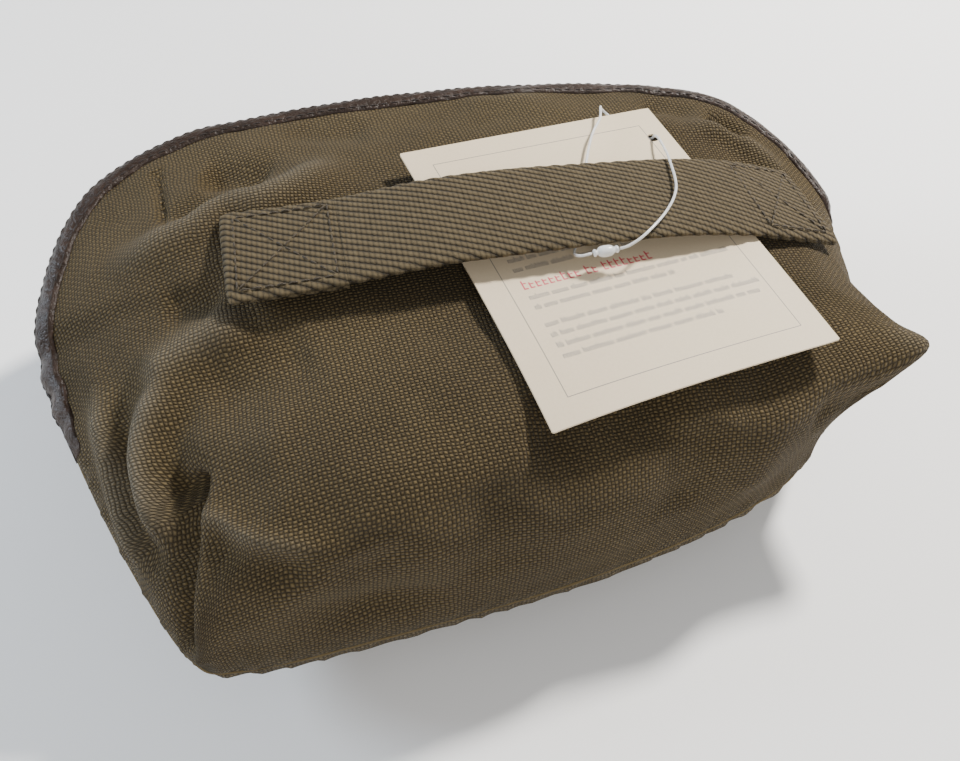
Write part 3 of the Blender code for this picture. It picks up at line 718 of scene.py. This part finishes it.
def cloth_shell(name, skin, outer, inner):
    """A closed layer of cloth between two depths below the skin."""
    count, rows = OUT.count, len(TURNS)
    body = rows - 1
    verts, uvs, wear = [], [], []
    for depth in (outer, inner):
        layer = skin.grid + skin.below * depth
        if skin.side < 0:
            layer[..., 2] = np.maximum(layer[..., 2], depth)
        verts += [layer[:, :body].reshape(-1, 3), layer[0, -1:].reshape(1, 3)]
        uvs += [skin.uv[:, :body].reshape(-1, 2), skin.uv[0, -1:].reshape(1, 2)]
        wear += [skin.wear[:, :body].ravel(), skin.wear[0, -1:]]
    per = count * body + 1
    faces = []
    for layer in range(2):
        base = layer * per
        for i in range(count):
            n = (i + 1) % count
            for j in range(body - 1):
                here, there = base + i * body + j, base + n * body + j
                quad = (here, there, there + 1, here + 1)
                faces.append(quad if (layer == 0) == (skin.side < 0) else quad[::-1])
            tri = (base + i * body + body - 1, base + n * body + body - 1, base + per - 1)
            faces.append(tri if (layer == 0) == (skin.side < 0) else tri[::-1])
    for i in range(count):
        n = (i + 1) % count
        quad = (i * body, n * body, per + n * body, per + i * body)
        faces.append(quad[::-1] if skin.side < 0 else quad)
    made = new_object(name, np.concatenate(verts), faces, np.concatenate(uvs))
    # The wear attribute holds real wear at the seams, and wear with painted highlight on fold ridges.
    layer = made.data.attributes.new("wear", "FLOAT", "POINT")
    layer.data.foreach_set("value", np.concatenate(wear).astype(np.float32))
    return face_out(made)


def section_sweep(name, stations, section, material):
    """Sweep a closed section. section(i, station) gives a list of points."""
    rings = np.array([section(i, s) for i, s in enumerate(stations)])
    verts, faces = tube_mesh(rings)
    return dress(face_out(new_object(name, verts, faces)), material)


# ---------------------------------------------------------------- pouch pieces

def carry(piece, body, slot, *nodes):
    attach(piece, body)
    if nodes:
        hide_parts(*nodes)
    return piece


def make_panels():
    for name, skin, node in (("front_canvas", FRONT, "front_panel"), ("back_canvas", BACK, "back_panel")):
        carry(dress(cloth_shell(name, skin, 0.0, 0.0010), CANVAS), "pouch", "canvas", node)
    for name, skin, node in (("front_inner", FRONT, "front_lining"), ("back_inner", BACK, "back_lining")):
        carry(dress(cloth_shell(name, skin, 0.0026, 0.0030), LINING), "pouch", "lining", node)


def wave(x, seed):
    return noise.noise(Vector((x * 60, seed, 0.5))) + 0.5 * noise.noise(Vector((x * 170, seed + 9, 0.5)))


def binding_width(station, side):
    return 0.0088 + 0.0011 * wave(OUT.run[station], 3.0 * side)


def binding_form(share, station, side):
    """The strip's height above the canvas across its width, thicker at both stitched folds."""
    puff = 0.00085 + 0.00055 * sin(pi * share) + 0.0003 * wave(OUT.run[station] + share * 0.03, 5 + side)
    return puff * (1 - (2 * share - 1) ** 8) + 0.00012


def make_binding(side):
    skin = FRONT if side > 0 else BACK
    label = "front" if side > 0 else "back"

    def section(i, station):
        width = binding_width(station, side)
        near = ease((i + 2) / 9) * ease((len(BINDING_RUN) + 1 - i) / 5)
        top = []
        reach = width * (0.45 + 0.55 * near)
        for k in range(13):
            share = k / 12
            lift = binding_form(share, station, side) * near + 0.0001
            top.append(skin.at(station, share * reach, lift))
        edge = skin.at(station, 0, 0)
        roll = OUT.across[station] * (-side * min(0.0009, 0.18 * OUT.gap[station])) * near
        over = [edge + roll + OUT.inward[station] * 0.0010, edge + roll * 1.15 + OUT.inward[station] * 0.0001,
                edge + roll * 0.7 - OUT.inward[station] * 0.0006]
        low = [skin.at(station, share * reach, 0.00004) for share in (1.0, 0.66, 0.33, 0.02)]
        return over + top + low

    piece = section_sweep(f"{label}_binding", BINDING_RUN, section, HIDE)
    return carry(piece, "pouch", "faux_leather", f"binding_{label}")


def dash(start, end, up, radius, tuck=0.45):
    """One stitch: a short thread that rises from the cloth and dives back in."""
    run = unit(end - start)
    side = np.cross(run, up)
    rings = []
    for k in range(6):
        t = k / 5
        centre = start + (end - start) * t + up * radius * (sin(pi * t) * 0.9 - tuck)
        slim = radius * (0.55 + 0.45 * sin(pi * t))
        rings.append([centre + (side * cos(a) + up * sin(a)) * slim for a in np.arange(6) * tau / 6])
    return tube_mesh(np.array(rings))


def stitch_line(merge, points, normals, length, gap, radius):
    """Stitches along a path of points with the cloth's normals."""
    steps = np.linalg.norm(np.diff(points, axis=0), axis=1)
    run = np.concatenate([[0], np.cumsum(steps)])
    place = gap
    while place + length < run[-1]:
        start = np.array([np.interp(place, run, points[:, k]) for k in range(3)])
        end = np.array([np.interp(place + length, run, points[:, k]) for k in range(3)])
        up = unit(np.array([np.interp(place + length / 2, run, normals[:, k]) for k in range(3)]))
        merge.add(*dash(start, end, up, radius))
        place += length + gap


def make_binding_stitches():
    for side, skin in ((1, FRONT), (-1, BACK)):
        label = "front" if side > 0 else "back"
        merge = Merge()
        for share in (0.16, 0.86):
            points, normals = [], []
            for station in BINDING_RUN[5:-3]:
                width = binding_width(station, side)
                lift = binding_form(share, station, side)
                points.append(skin.at(station, share * width, lift + 0.0001))
                surface = skin.at(station, share * width, 0.0)
                normals.append(unit(skin.at(station, share * width, 1.0) - surface))
            stitch_line(merge, np.array(points), np.array(normals), 0.0029, 0.0010, 0.00024)
        carry(dress(merge.build(f"{label}_binding_stitch"), YARN_DARK), "pouch", "thread")


def zip_place(station, width, depth):
    return OUT.point[station] + OUT.inward[station] * depth + OUT.across[station] * width


def make_tapes():
    for side, skin in ((1, FRONT), (-1, BACK)):
        label = "front" if side > 0 else "back"

        def section(i, station):
            shut = OUT.gap[station] / ZIP_GAP
            near, far = side * 0.0009 * shut, side * 0.0036 * shut
            outer = [zip_place(station, near, 0.0043), zip_place(station, far, 0.0043)]
            inner = [zip_place(station, far, 0.0048), zip_place(station, near, 0.0048)]
            sewn_out = [skin.at(station, arc, -0.0013) for arc in (0.0002, 0.004, 0.009)]
            sewn_in = [skin.at(station, arc, -0.0018) for arc in (0.009, 0.004, 0.0002)]
            return outer + sewn_out + sewn_in + inner

        piece = section_sweep(f"{label}_zip_tape", ZIP_RUN, section, TAPE)
        carry(piece, "pouch", "tape", f"zip_tape_{label}")


def make_coils():
    """Each half of the zip is a nylon helix sewn along the tape, and the two halves interlock."""
    run = OUT.run[ZIP_RUN]
    start, end = run[26], run[-27]
    pitch = 0.00125
    for side in (1, -1):
        label = "front" if side > 0 else "back"
        merge = Merge()
        turns = int((end - start) / pitch)
        for k in range(turns):
            place = start + (k + (0.5 if side > 0 else 0)) * pitch
            station = np.interp(place, run, ZIP_RUN)
            low = int(station)
            part = station - low
            point = OUT.point[low] * (1 - part) + OUT.point[low + 1] * part
            along, across, inward = OUT.along[low], OUT.across[low], OUT.inward[low]
            rings = []
            for j in range(9):
                t = j / 8
                angle = pi * (0.12 + 1.62 * t) - 0.2
                width = 0.00225 - 0.0009 * cos(angle)
                depth = 0.00345 - 0.0005 * sin(angle)
                centre = point + across * (side * width) + inward * depth + along * (t - 0.5) * pitch * 0.5
                rings.append(centre)
            rings = np.array(rings)
            tangent = unit(np.gradient(rings, axis=0))
            flat = unit(np.cross(tangent, along))
            third = np.cross(tangent, flat)
            tube = np.array([[rings[j] + (flat[j] * cos(a) + third[j] * sin(a)) * 0.00026
                              for a in np.arange(5) * tau / 5] for j in range(9)])
            merge.add(*tube_mesh(tube))
        piece = dress(merge.build(f"{label}_zip_coil"), NYLON)
        carry(piece, "pouch", "nylon", f"zip_coil_{label}")


def make_seam_tapes():
    """Bias tape over the inside of the sewn seams, under the canvas."""
    after = np.arange(ZIP_LAST * STEPS + 2, OUT.count)
    before = np.arange(0, ZIP_FIRST * STEPS - 1)
    runs = (("right_seam_tape", after[:3 * STEPS - 4], "side_seam_tape_right"),
            ("base_tape", np.concatenate([after[3 * STEPS:], before[:2]]), "base_seam_tape"),
            ("left_seam_tape", before[4:], "side_seam_tape_left"))
    for name, stations, node in runs:
        def section(i, station):
            outer = [FRONT.at(station, arc, -0.0013) for arc in (0.009, 0.0045, 0.0012)]
            outer += [BACK.at(station, arc, -0.0013) for arc in (0.0012, 0.0045, 0.009)]
            inner = [BACK.at(station, arc, -0.0017) for arc in (0.009, 0.0045, 0.0016)]
            inner += [FRONT.at(station, arc, -0.0017) for arc in (0.0016, 0.0045, 0.009)]
            return outer + inner

        carry(section_sweep(name, stations, section, TAPE), "pouch", "tape", node)


def make_seam_welt():
    """The base and side seams' sewn ridge, rolled slightly out between the two canvas halves."""
    stations = np.concatenate([np.arange(ZIP_LAST * STEPS - 1, OUT.count),
                               np.arange(0, ZIP_FIRST * STEPS + 2)])

    def section(i, station):
        near = ease((i + 1) / 6) * ease((len(stations) - i) / 6)
        wide = 0.0007 + 0.00025 * wave(OUT.run[station], 2.0)
        centre = OUT.point[station] + OUT.inward[station] * 0.0005
        across, inward = OUT.across[station], OUT.inward[station]
        return [centre + (across * cos(a) - inward * sin(a)) * wide * (0.4 + 0.6 * near)
                for a in np.arange(8) * tau / 8]

    carry(section_sweep("seam_welt", stations, section, CANVAS), "pouch", "canvas")


# ---------------------------------------------------------------- handle

STRAP_ROUTE = (
    (-0.0820, 0.0170, 0.0885), (-0.0640, 0.0155, 0.0893), (-0.0460, 0.0140, 0.0908),
    (-0.0200, 0.0125, 0.0936), (0.0050, 0.0120, 0.0932), (0.0350, 0.0120, 0.0908),
    (0.0620, 0.0120, 0.0876), (0.0860, 0.0122, 0.0823), (0.1020, 0.0125, 0.0768), (0.1160, 0.0130, 0.0712),
)
STRAP_WIDTH = 0.038
LEFT_SEWN_TO, RIGHT_SEWN_FROM = -0.0470, 0.0870
ROUTE = smooth_path(STRAP_ROUTE, 12)
RIB_PITCH, RIB_SLOPE = 0.00232, radians(26)


def route_point(x):
    return np.array([x, np.interp(x, ROUTE[:, 0], ROUTE[:, 1]), np.interp(x, ROUTE[:, 0], ROUTE[:, 2])])


def route_frame(x):
    """The strap's middle, direction, width and normal at an X position."""
    point, ahead, behind = route_point(x), route_point(x + 0.002), route_point(x - 0.002)
    along = unit(ahead - behind)
    width = np.array([0.0, 1.0, 0.0])
    width = unit(width - along * along.dot(width))
    return point, along, width, np.cross(along, width)


def rib_height(run, across):
    turn = run * sin(RIB_SLOPE) + across * cos(RIB_SLOPE)
    return np.sqrt(np.abs(np.sin(turn * pi / RIB_PITCH)) + 1e-6)


def ribbon(path_points, path_normals, width_dirs, runs, thick, name):
    """A thick ribbed ribbon along a path, with scalloped edges."""
    cells = 44
    shares = np.linspace(-1, 1, cells + 1)
    top, low, uv = [], [], []
    for point, normal, width, run in zip(path_points, path_normals, width_dirs, runs):
        across = shares * STRAP_WIDTH / 2
        scallop = 0.00035 * np.abs(np.sin(run * pi / 0.0058)) * (np.abs(shares) > 0.93)
        reach = across + np.sign(shares) * scallop
        edge = 1 - np.clip((np.abs(shares) - 0.90) / 0.10, 0, 1) ** 2
        rib = rib_height(run, across)
        form = (thick / 2) * (0.45 + 0.55 * edge)
        curl = -0.0006 * shares ** 4 + 0.00035 * np.sin(run * 70 + 1.3) * shares
        top.append(point + np.outer(reach, width) + np.outer(form - 0.00036 * (1 - rib) + curl, normal))
        low.append(point + np.outer(reach, width) + np.outer(-form + 0.00036 * (1 - rib) + curl, normal))
        uv.append(np.stack([np.full(cells + 1, run), across], axis=1))
    top, low, uv = np.array(top), np.array(low), np.array(uv)
    rings = np.concatenate([top, low[:, ::-1]], axis=1)
    ring_uv = np.concatenate([uv, uv[:, ::-1]], axis=1)
    verts, faces = tube_mesh(rings)
    made = new_object(name, verts, faces, ring_uv.reshape(-1, 2))
    return dress(face_out(made), WEBBING)


def strap_run(start, end, step=0.00055):
    count = max(2, int(abs(end - start) / step))
    xs = np.linspace(start, end, count + 1)
    frames = [route_frame(x) for x in xs]
    return xs, [f[0] for f in frames], [f[3] for f in frames], [f[2] for f in frames]


def strap_end(name, tip, sewn, node):
    """A sewn end: the webbing runs out to its tip, rolls under and comes back below itself."""
    sign = 1 if tip > sewn else -1
    depth = 0.0019
    xs, points, normals, widths = strap_run(sewn, tip - sign * 0.0012)
    runs = list(xs)
    middle, along, width, normal = route_frame(tip - sign * 0.0012)
    for k in range(1, 8):
        angle = pi * k / 8
        outward = normal * cos(angle) + along * sign * sin(angle)
        points.append(middle - normal * depth / 2 + outward * depth / 2)
        normals.append(outward)
        widths.append(width)
        runs.append(xs[-1] + sign * k * depth * pi / 16)
    back = np.linspace(tip - sign * 0.0012, sewn, len(xs))
    for x in back[1:]:
        middle, along, width, normal = route_frame(x)
        points.append(middle - normal * depth)
        normals.append(-normal)
        widths.append(width)
        runs.append(runs[-1] + sign * abs(back[1] - back[0]))
    piece = ribbon(points, normals, widths, runs, 0.0018, name)
    return carry(piece, "pouch", "webbing", node)


def strap_middle(name, start, end):
    xs, points, normals, widths = strap_run(start, end)
    return ribbon(points, normals, widths, list(xs), 0.0019, name)


def box_stitch(name, start, end, node):
    """A sewn box with a cross, in thread pulled down into the webbing."""
    merge = Merge()
    half = STRAP_WIDTH / 2 - 0.0032

    def line(xa, wa, xb, wb):
        points, normals = [], []
        for t in np.linspace(0, 1, 30):
            x = xa + (xb - xa) * t
            point, along, width, normal = route_frame(x)
            points.append(point + width * (wa + (wb - wa) * t) + normal * 0.00085)
            normals.append(normal)
        stitch_line(merge, np.array(points), np.array(normals), 0.0026, 0.0009, 0.00034)

    for ends in ((start, -half, end, -half), (start, half, end, half), (start, -half, start + 1e-5, half),
                 (end, -half, end + 1e-5, half), (start, -half, end, half), (start, half, end, -half)):
        line(*ends)
    return carry(dress(merge.build(name), YARN), "pouch", "thread", node)


def make_handle():
    strap_end("strap_end_left", STRAP_ROUTE[0][0], LEFT_SEWN_TO, "handle_end_left")
    strap_end("strap_end_right", STRAP_ROUTE[-1][0], RIGHT_SEWN_FROM, "handle_end_right")
    middle = 0.020
    left = strap_middle("strap_left", LEFT_SEWN_TO, middle)
    right = strap_middle("strap_right", middle, RIGHT_SEWN_FROM)
    a, b, m = route_frame(LEFT_SEWN_TO)[0], route_frame(RIGHT_SEWN_FROM)[0], route_frame(middle)[0]
    tuple(a)
    tuple(m)
    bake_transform(left)
    tuple(b)
    tuple(m)
    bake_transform(right)
    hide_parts("handle_strap")
    box_stitch("box_stitch_left", STRAP_ROUTE[0][0] + 0.0035, LEFT_SEWN_TO - 0.0025, "handle_stitch_left")
    box_stitch("box_stitch_right", RIGHT_SEWN_FROM + 0.0025, STRAP_ROUTE[-1][0] - 0.0035,
               "handle_stitch_right")


# ---------------------------------------------------------------- tag

TAG_MIDDLE = np.array([0.0365, -0.0012, 0.0837])
TAG_RIGHT = unit(np.array([0.9833, 0.1690, -0.0680]))
TAG_LEAN = np.array([-0.1670, 0.9855, 0.0300])
TAG_UP = unit(TAG_LEAN - TAG_RIGHT * TAG_RIGHT.dot(TAG_LEAN))
TAG_FACE = np.cross(TAG_RIGHT, TAG_UP)
TAG_WIDTH, TAG_LENGTH, TAG_THICK = 0.0955, 0.1175, 0.0006


HOLE_AT, HOLE_RADIUS = (0.0408, 0.0428), 0.0020
TAG_TURN = radians(2.0)


def on_tag(a, b, c=0.0):
    """A point on the card, which is turned a little on its loop and droops at its free lower left corner."""
    across, ahead = a - HOLE_AT[0], b - HOLE_AT[1]
    a = HOLE_AT[0] + across * cos(TAG_TURN) + ahead * sin(TAG_TURN)
    b = HOLE_AT[1] - across * sin(TAG_TURN) + ahead * cos(TAG_TURN)
    share = max(0, 0.5 - a / TAG_WIDTH) * max(0, 0.5 - b / TAG_LENGTH)
    droop = 0.0048 * share ** 3 + 0.0006 * max(0, 0.5 - b / TAG_LENGTH) ** 4
    return TAG_MIDDLE + TAG_RIGHT * a + TAG_UP * b + TAG_FACE * (c - droop)


def card_lines(half, hole):
    """Grid lines across the card, with four that frame the hole and one close to each edge."""
    near = [hole - 0.0036, hole - 0.0012, hole + 0.0012, hole + 0.0036]
    before = np.linspace(-half + 0.0005, near[0], int((near[0] + half) / 0.0026) + 1)[:-1]
    after = [near[-1]] if half - near[-1] < 0.004 else list(np.linspace(near[-1], half - 0.0005, 5))
    return np.array([-half, *before, *near[:3], *after, half])


def make_card():
    """The card: thin, with its punched hole, sharp corners and a slight bend."""
    across = card_lines(TAG_WIDTH / 2, HOLE_AT[0])
    ahead = card_lines(TAG_LENGTH / 2, HOLE_AT[1])
    first_a = int(np.argmin(abs(across - (HOLE_AT[0] - 0.0036))))
    first_b = int(np.argmin(abs(ahead - (HOLE_AT[1] - 0.0036))))
    ring = [(0, 0), (1, 0), (2, 0), (3, 0), (3, 1), (3, 2), (3, 3), (2, 3), (1, 3), (0, 3), (0, 2), (0, 1)]
    flat, index = [], {}
    for i, a in enumerate(across):
        for j, b in enumerate(ahead):
            if i - first_a in (1, 2) and j - first_b in (1, 2):
                continue
            index[i, j] = len(flat)
            corner = i in (0, len(across) - 1) and j in (0, len(ahead) - 1)
            flat.append((a * 0.9965, b * 0.9972) if corner else (a, b))
    hole = []
    for i, j in ring:
        da, db = across[first_a + i] - HOLE_AT[0], ahead[first_b + j] - HOLE_AT[1]
        size = HOLE_RADIUS / sqrt(da * da + db * db)
        hole.append(len(flat))
        flat.append((HOLE_AT[0] + da * size, HOLE_AT[1] + db * size))
    quads = []
    for i in range(len(across) - 1):
        for j in range(len(ahead) - 1):
            if 0 <= i - first_a < 3 and 0 <= j - first_b < 3:
                continue
            quads.append((index[i, j], index[i + 1, j], index[i + 1, j + 1], index[i, j + 1]))
    for k in range(12):
        (i, j), (m, n) = ring[k], ring[(k + 1) % 12]
        quads.append((index[first_a + i, first_b + j], index[first_a + m, first_b + n],
                      hole[(k + 1) % 12], hole[k]))
    verts = [on_tag(a, b, TAG_THICK / 2) for a, b in flat] + [on_tag(a, b, -TAG_THICK / 2) for a, b in flat]
    count = len(flat)
    faces = quads + [tuple(v + count for v in reversed(quad)) for quad in quads]
    edges = {}
    for quad in quads:
        for k in range(4):
            edge = (quad[k], quad[(k + 1) % 4])
            edges[edge] = edge[::-1] not in edges
            if edge[::-1] in edges:
                edges[edge[::-1]] = edges[edge] = False
    faces += [(b, a, a + count, b + count) for (a, b), open_edge in edges.items() if open_edge]
    made = face_out(new_object("card", verts, faces, smooth=False))
    carry(dress(made, PAPER), "tag", "paper", "hang_tag")


def print_bar(merge, a0, a1, b, tall, pieces=1):
    """A thin printed bar on the card, in several pieces where it is long enough to bend with the card."""
    low, high = TAG_THICK / 2 - 0.00003, TAG_THICK / 2 + 0.00003
    for k in range(pieces):
        start, end = a0 + (a1 - a0) * k / pieces, a0 + (a1 - a0) * (k + 1) / pieces
        corners = [(start, b - tall / 2), (end, b - tall / 2), (end, b + tall / 2), (start, b + tall / 2)]
        verts = [on_tag(x, y, low) for x, y in corners] + [on_tag(x, y, high) for x, y in corners]
        faces = [(0, 1, 2, 3), (4, 5, 6, 7), (0, 1, 5, 4), (1, 2, 6, 5), (2, 3, 7, 6), (3, 0, 4, 7)]
        merge.add(verts, faces)


def make_print():
    """Generic marks in place of the card's text: rows of word-length bars, a heading and a border line."""
    spread = random.Random(11)
    marks = Merge()
    inset = 0.0085
    wide, tall = TAG_WIDTH / 2 - inset, TAG_LENGTH / 2 - inset
    line = 0.00022
    print_bar(marks, -wide, wide, tall, line, 30)
    print_bar(marks, -wide, wide, -tall, line, 30)
    for a in (-wide, wide):
        for k in range(36):
            print_bar(marks, a - line / 2, a + line / 2, -tall + (k + 0.5) * tall / 18, tall / 18)
    rows = ((0.0005, 0.030), (-0.0036, 0.004), (-0.0152, 0.034), (-0.0192, 0.012), (-0.0262, 0.030),
            (-0.0302, 0.030), (-0.0342, 0.035), (-0.0382, 0.020))
    left = -0.0345
    for b, end in rows:
        a = left
        while a < end:
            letters = spread.choice((2, 3, 4, 5, 6, 7, 9))
            for k in range(letters):
                tall_letter = 0.0021 if spread.random() < 0.3 else 0.00145
                start = a + k * 0.00112
                print_bar(marks, start, start + 0.00026, b + tall_letter / 2, tall_letter)
                print_bar(marks, start + 0.00062, start + 0.00084, b + 0.00072, 0.00145)
                height = b + spread.choice((0.00014, 0.0013))
                print_bar(marks, start + 0.00026, start + 0.00062, height, 0.00024)
            a += letters * 0.00112 + 0.0008
    piece = dress(marks.build("tag_marks", smooth=False), INK)
    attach(piece, "tag")
    heading = Merge()
    a = left
    for word in (0.0215, 0.0062, 0.0190):
        letters = int(word / 0.0022)
        for k in range(letters):
            tall_letter = 0.0036 if k == 0 or spread.random() < 0.2 else 0.0025
            start = a + k * 0.0022
            low_b = -0.0110
            for b0, b1, a0, a1 in ((0, tall_letter, 0, 0.00045), (0, 0.00045, 0, 0.0015),
                                   (tall_letter * 0.62, tall_letter * 0.62 + 0.0004, 0, 0.0015)):
                print_bar(heading, start + a0, start + a1, low_b + (b0 + b1) / 2, b1 - b0)
        a += letters * 0.0022 + 0.0016
    piece = dress(heading.build("tag_heading", smooth=False), INK_RED)
    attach(piece, "tag")


LOOP_ROUTE = (
    (0.0337, -0.0104, 0.0905), (0.0370, -0.0105, 0.0914), (0.0429, -0.0082, 0.0928), (0.0534, 0.0006, 0.0925),
    (0.0616, 0.0122, 0.0908), (0.0660, 0.0276, 0.0890), (0.0679, 0.0360, 0.0873), (0.0690, 0.0430, 0.0858),
    (0.0694, 0.0470, 0.0840), (0.0695, 0.0481, 0.0822), (0.0686, 0.0499, 0.0807), (0.0652, 0.0545, 0.0808),
    (0.0605, 0.0612, 0.0816), (0.0566, 0.0652, 0.0842), (0.0548, 0.0628, 0.0872), (0.0520, 0.0560, 0.0878),
    (0.0463, 0.0481, 0.0877), (0.0400, 0.0360, 0.0874), (0.0355, 0.0250, 0.0874), (0.0310, 0.0120, 0.0874),
    (0.0258, 0.0010, 0.0876), (0.0222, -0.0035, 0.0880), (0.0204, -0.0078, 0.0888), (0.0216, -0.0101, 0.0900),
    (0.0246, -0.0104, 0.0905),
)
BEAD_AT = np.array([0.0292, -0.0104, 0.0905])


def make_loop():
    """The clear filament, a thin tube whose route passes through the card's hole and ends at its lock."""
    path = smooth_path(LOOP_ROUTE, 8)
    along = unit(np.gradient(path, axis=0))
    side = unit(np.cross(along, UP))
    up = np.cross(side, along)
    rings = np.array([[p + (s * cos(a) + u * sin(a)) * 0.00045 for a in np.arange(10) * tau / 10]
                      for p, s, u in zip(path, side, up)])
    verts, faces = tube_mesh(rings)
    made = dress(face_out(new_object("tag_loop_line", verts, faces)), CLEAR)
    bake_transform(made)
    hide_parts("tag_loop")


def make_bead():
    """The lock: a slightly flattened barrel with a collar at each end."""
    profile = ((-0.0041, 0.0006), (-0.0040, 0.0012), (-0.0034, 0.0014), (-0.0031, 0.0008), (-0.0026, 0.0009),
               (-0.0022, 0.0017), (-0.0010, 0.0020), (0.0008, 0.0020), (0.0020, 0.0017), (0.0025, 0.0010),
               (0.0030, 0.0009), (0.0033, 0.0014), (0.0039, 0.0012), (0.0041, 0.0006))
    turns = np.arange(20) * tau / 20
    rings = np.array([[BEAD_AT + np.array((x, r * cos(a), 0.85 * r * sin(a))) for a in turns]
                      for x, r in profile])
    verts, faces = tube_mesh(rings)
    made = face_out(new_object("lock_bead", verts, faces))
    rounded = made.modifiers.new("soft", "SUBSURF")
    rounded.levels = rounded.render_levels = 1
    carry(dress(made, CLEAR), "pouch", "plastic", "tag_bead")


# ---------------------------------------------------------------- zip hardware

def softened(node, body, width, material, slot):
    """A CAD piece's own shape with its edges rounded."""
    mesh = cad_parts[node].data.copy()
    made = bpy.data.objects.new(f"{node}_rounded", mesh)
    bpy.context.collection.objects.link(made)
    work = bmesh.new()
    work.from_mesh(mesh)
    bmesh.ops.remove_doubles(work, verts=work.verts, dist=1e-6)
    bmesh.ops.dissolve_limit(work, angle_limit=radians(1), verts=work.verts, edges=work.edges)
    work.to_mesh(mesh)
    work.free()
    bevel = made.modifiers.new("round", "BEVEL")
    bevel.width = width
    bevel.segments = 3
    bevel.limit_method = "ANGLE"
    bevel.angle_limit = radians(35)
    mesh.shade_smooth()
    dress(made, material)
    return carry(made, body, slot, node)


def make_hardware():
    softened("slider_body", "slider", 0.00022, METAL, "metal")
    softened("pull_tab", "pull", 0.00022, METAL, "metal")
    softened("zip_stop_left", "pouch", 0.00022, METAL, "metal")
    softened("zip_stop_right", "pouch", 0.00022, METAL, "metal")


# ---------------------------------------------------------------- stage

def make_stage():
    size = 3.0
    verts = [(-size, -size, 0), (size, -size, 0), (size, size, 0), (-size, size, 0)]
    floor = new_object("floor", verts, [(0, 1, 2, 3)])
    n = Nodes("floor_look")
    place = n.add("ShaderNodeTexCoord").outputs["Object"]
    cloud = n.noise(place, 3, 2, 0.5)
    dress(floor, n.finish(n.ramp(cloud, (0.3, (0.93, 0.93, 0.93)), (0.7, (0.95, 0.95, 0.95))), 0.8))


def area_light(name, place, target, size, power, colour):
    data = bpy.data.lights.new(name, "AREA")
    data.shape = "DISK"
    data.size = size
    data.energy = power
    data.color = colour
    made = bpy.data.objects.new(name, data)
    bpy.context.collection.objects.link(made)
    made.location = place
    made.rotation_euler = (Vector(target) - Vector(place)).to_track_quat("-Z", "Y").to_euler()


def make_lights():
    world = bpy.data.worlds.new("world")
    bpy.context.scene.world = world
    world.use_nodes = True
    back = world.node_tree.nodes["Background"]
    back.inputs["Color"].default_value = (1, 1, 1, 1)
    back.inputs["Strength"].default_value = 0.36
    area_light("key", (0.58, 0.34, 0.74), (0, 0, 0.06), 0.12, 20, (1.0, 0.96, 0.90))
    area_light("window", (-1.0, 0.40, 0.50), (-0.05, 0, 0.06), 0.45, 13, (0.76, 0.87, 1.0))
    area_light("front", (-0.2, -1.2, 0.75), (0, 0, 0.05), 0.9, 10, (1.0, 0.98, 0.95))


# ---------------------------------------------------------------- build

make_loop()
make_bead()
make_panels()
make_binding(1)
make_binding(-1)
make_binding_stitches()
make_tapes()
make_coils()
make_seam_tapes()
make_seam_welt()
make_handle()
make_card()
make_print()
make_hardware()
make_stage()
make_lights()
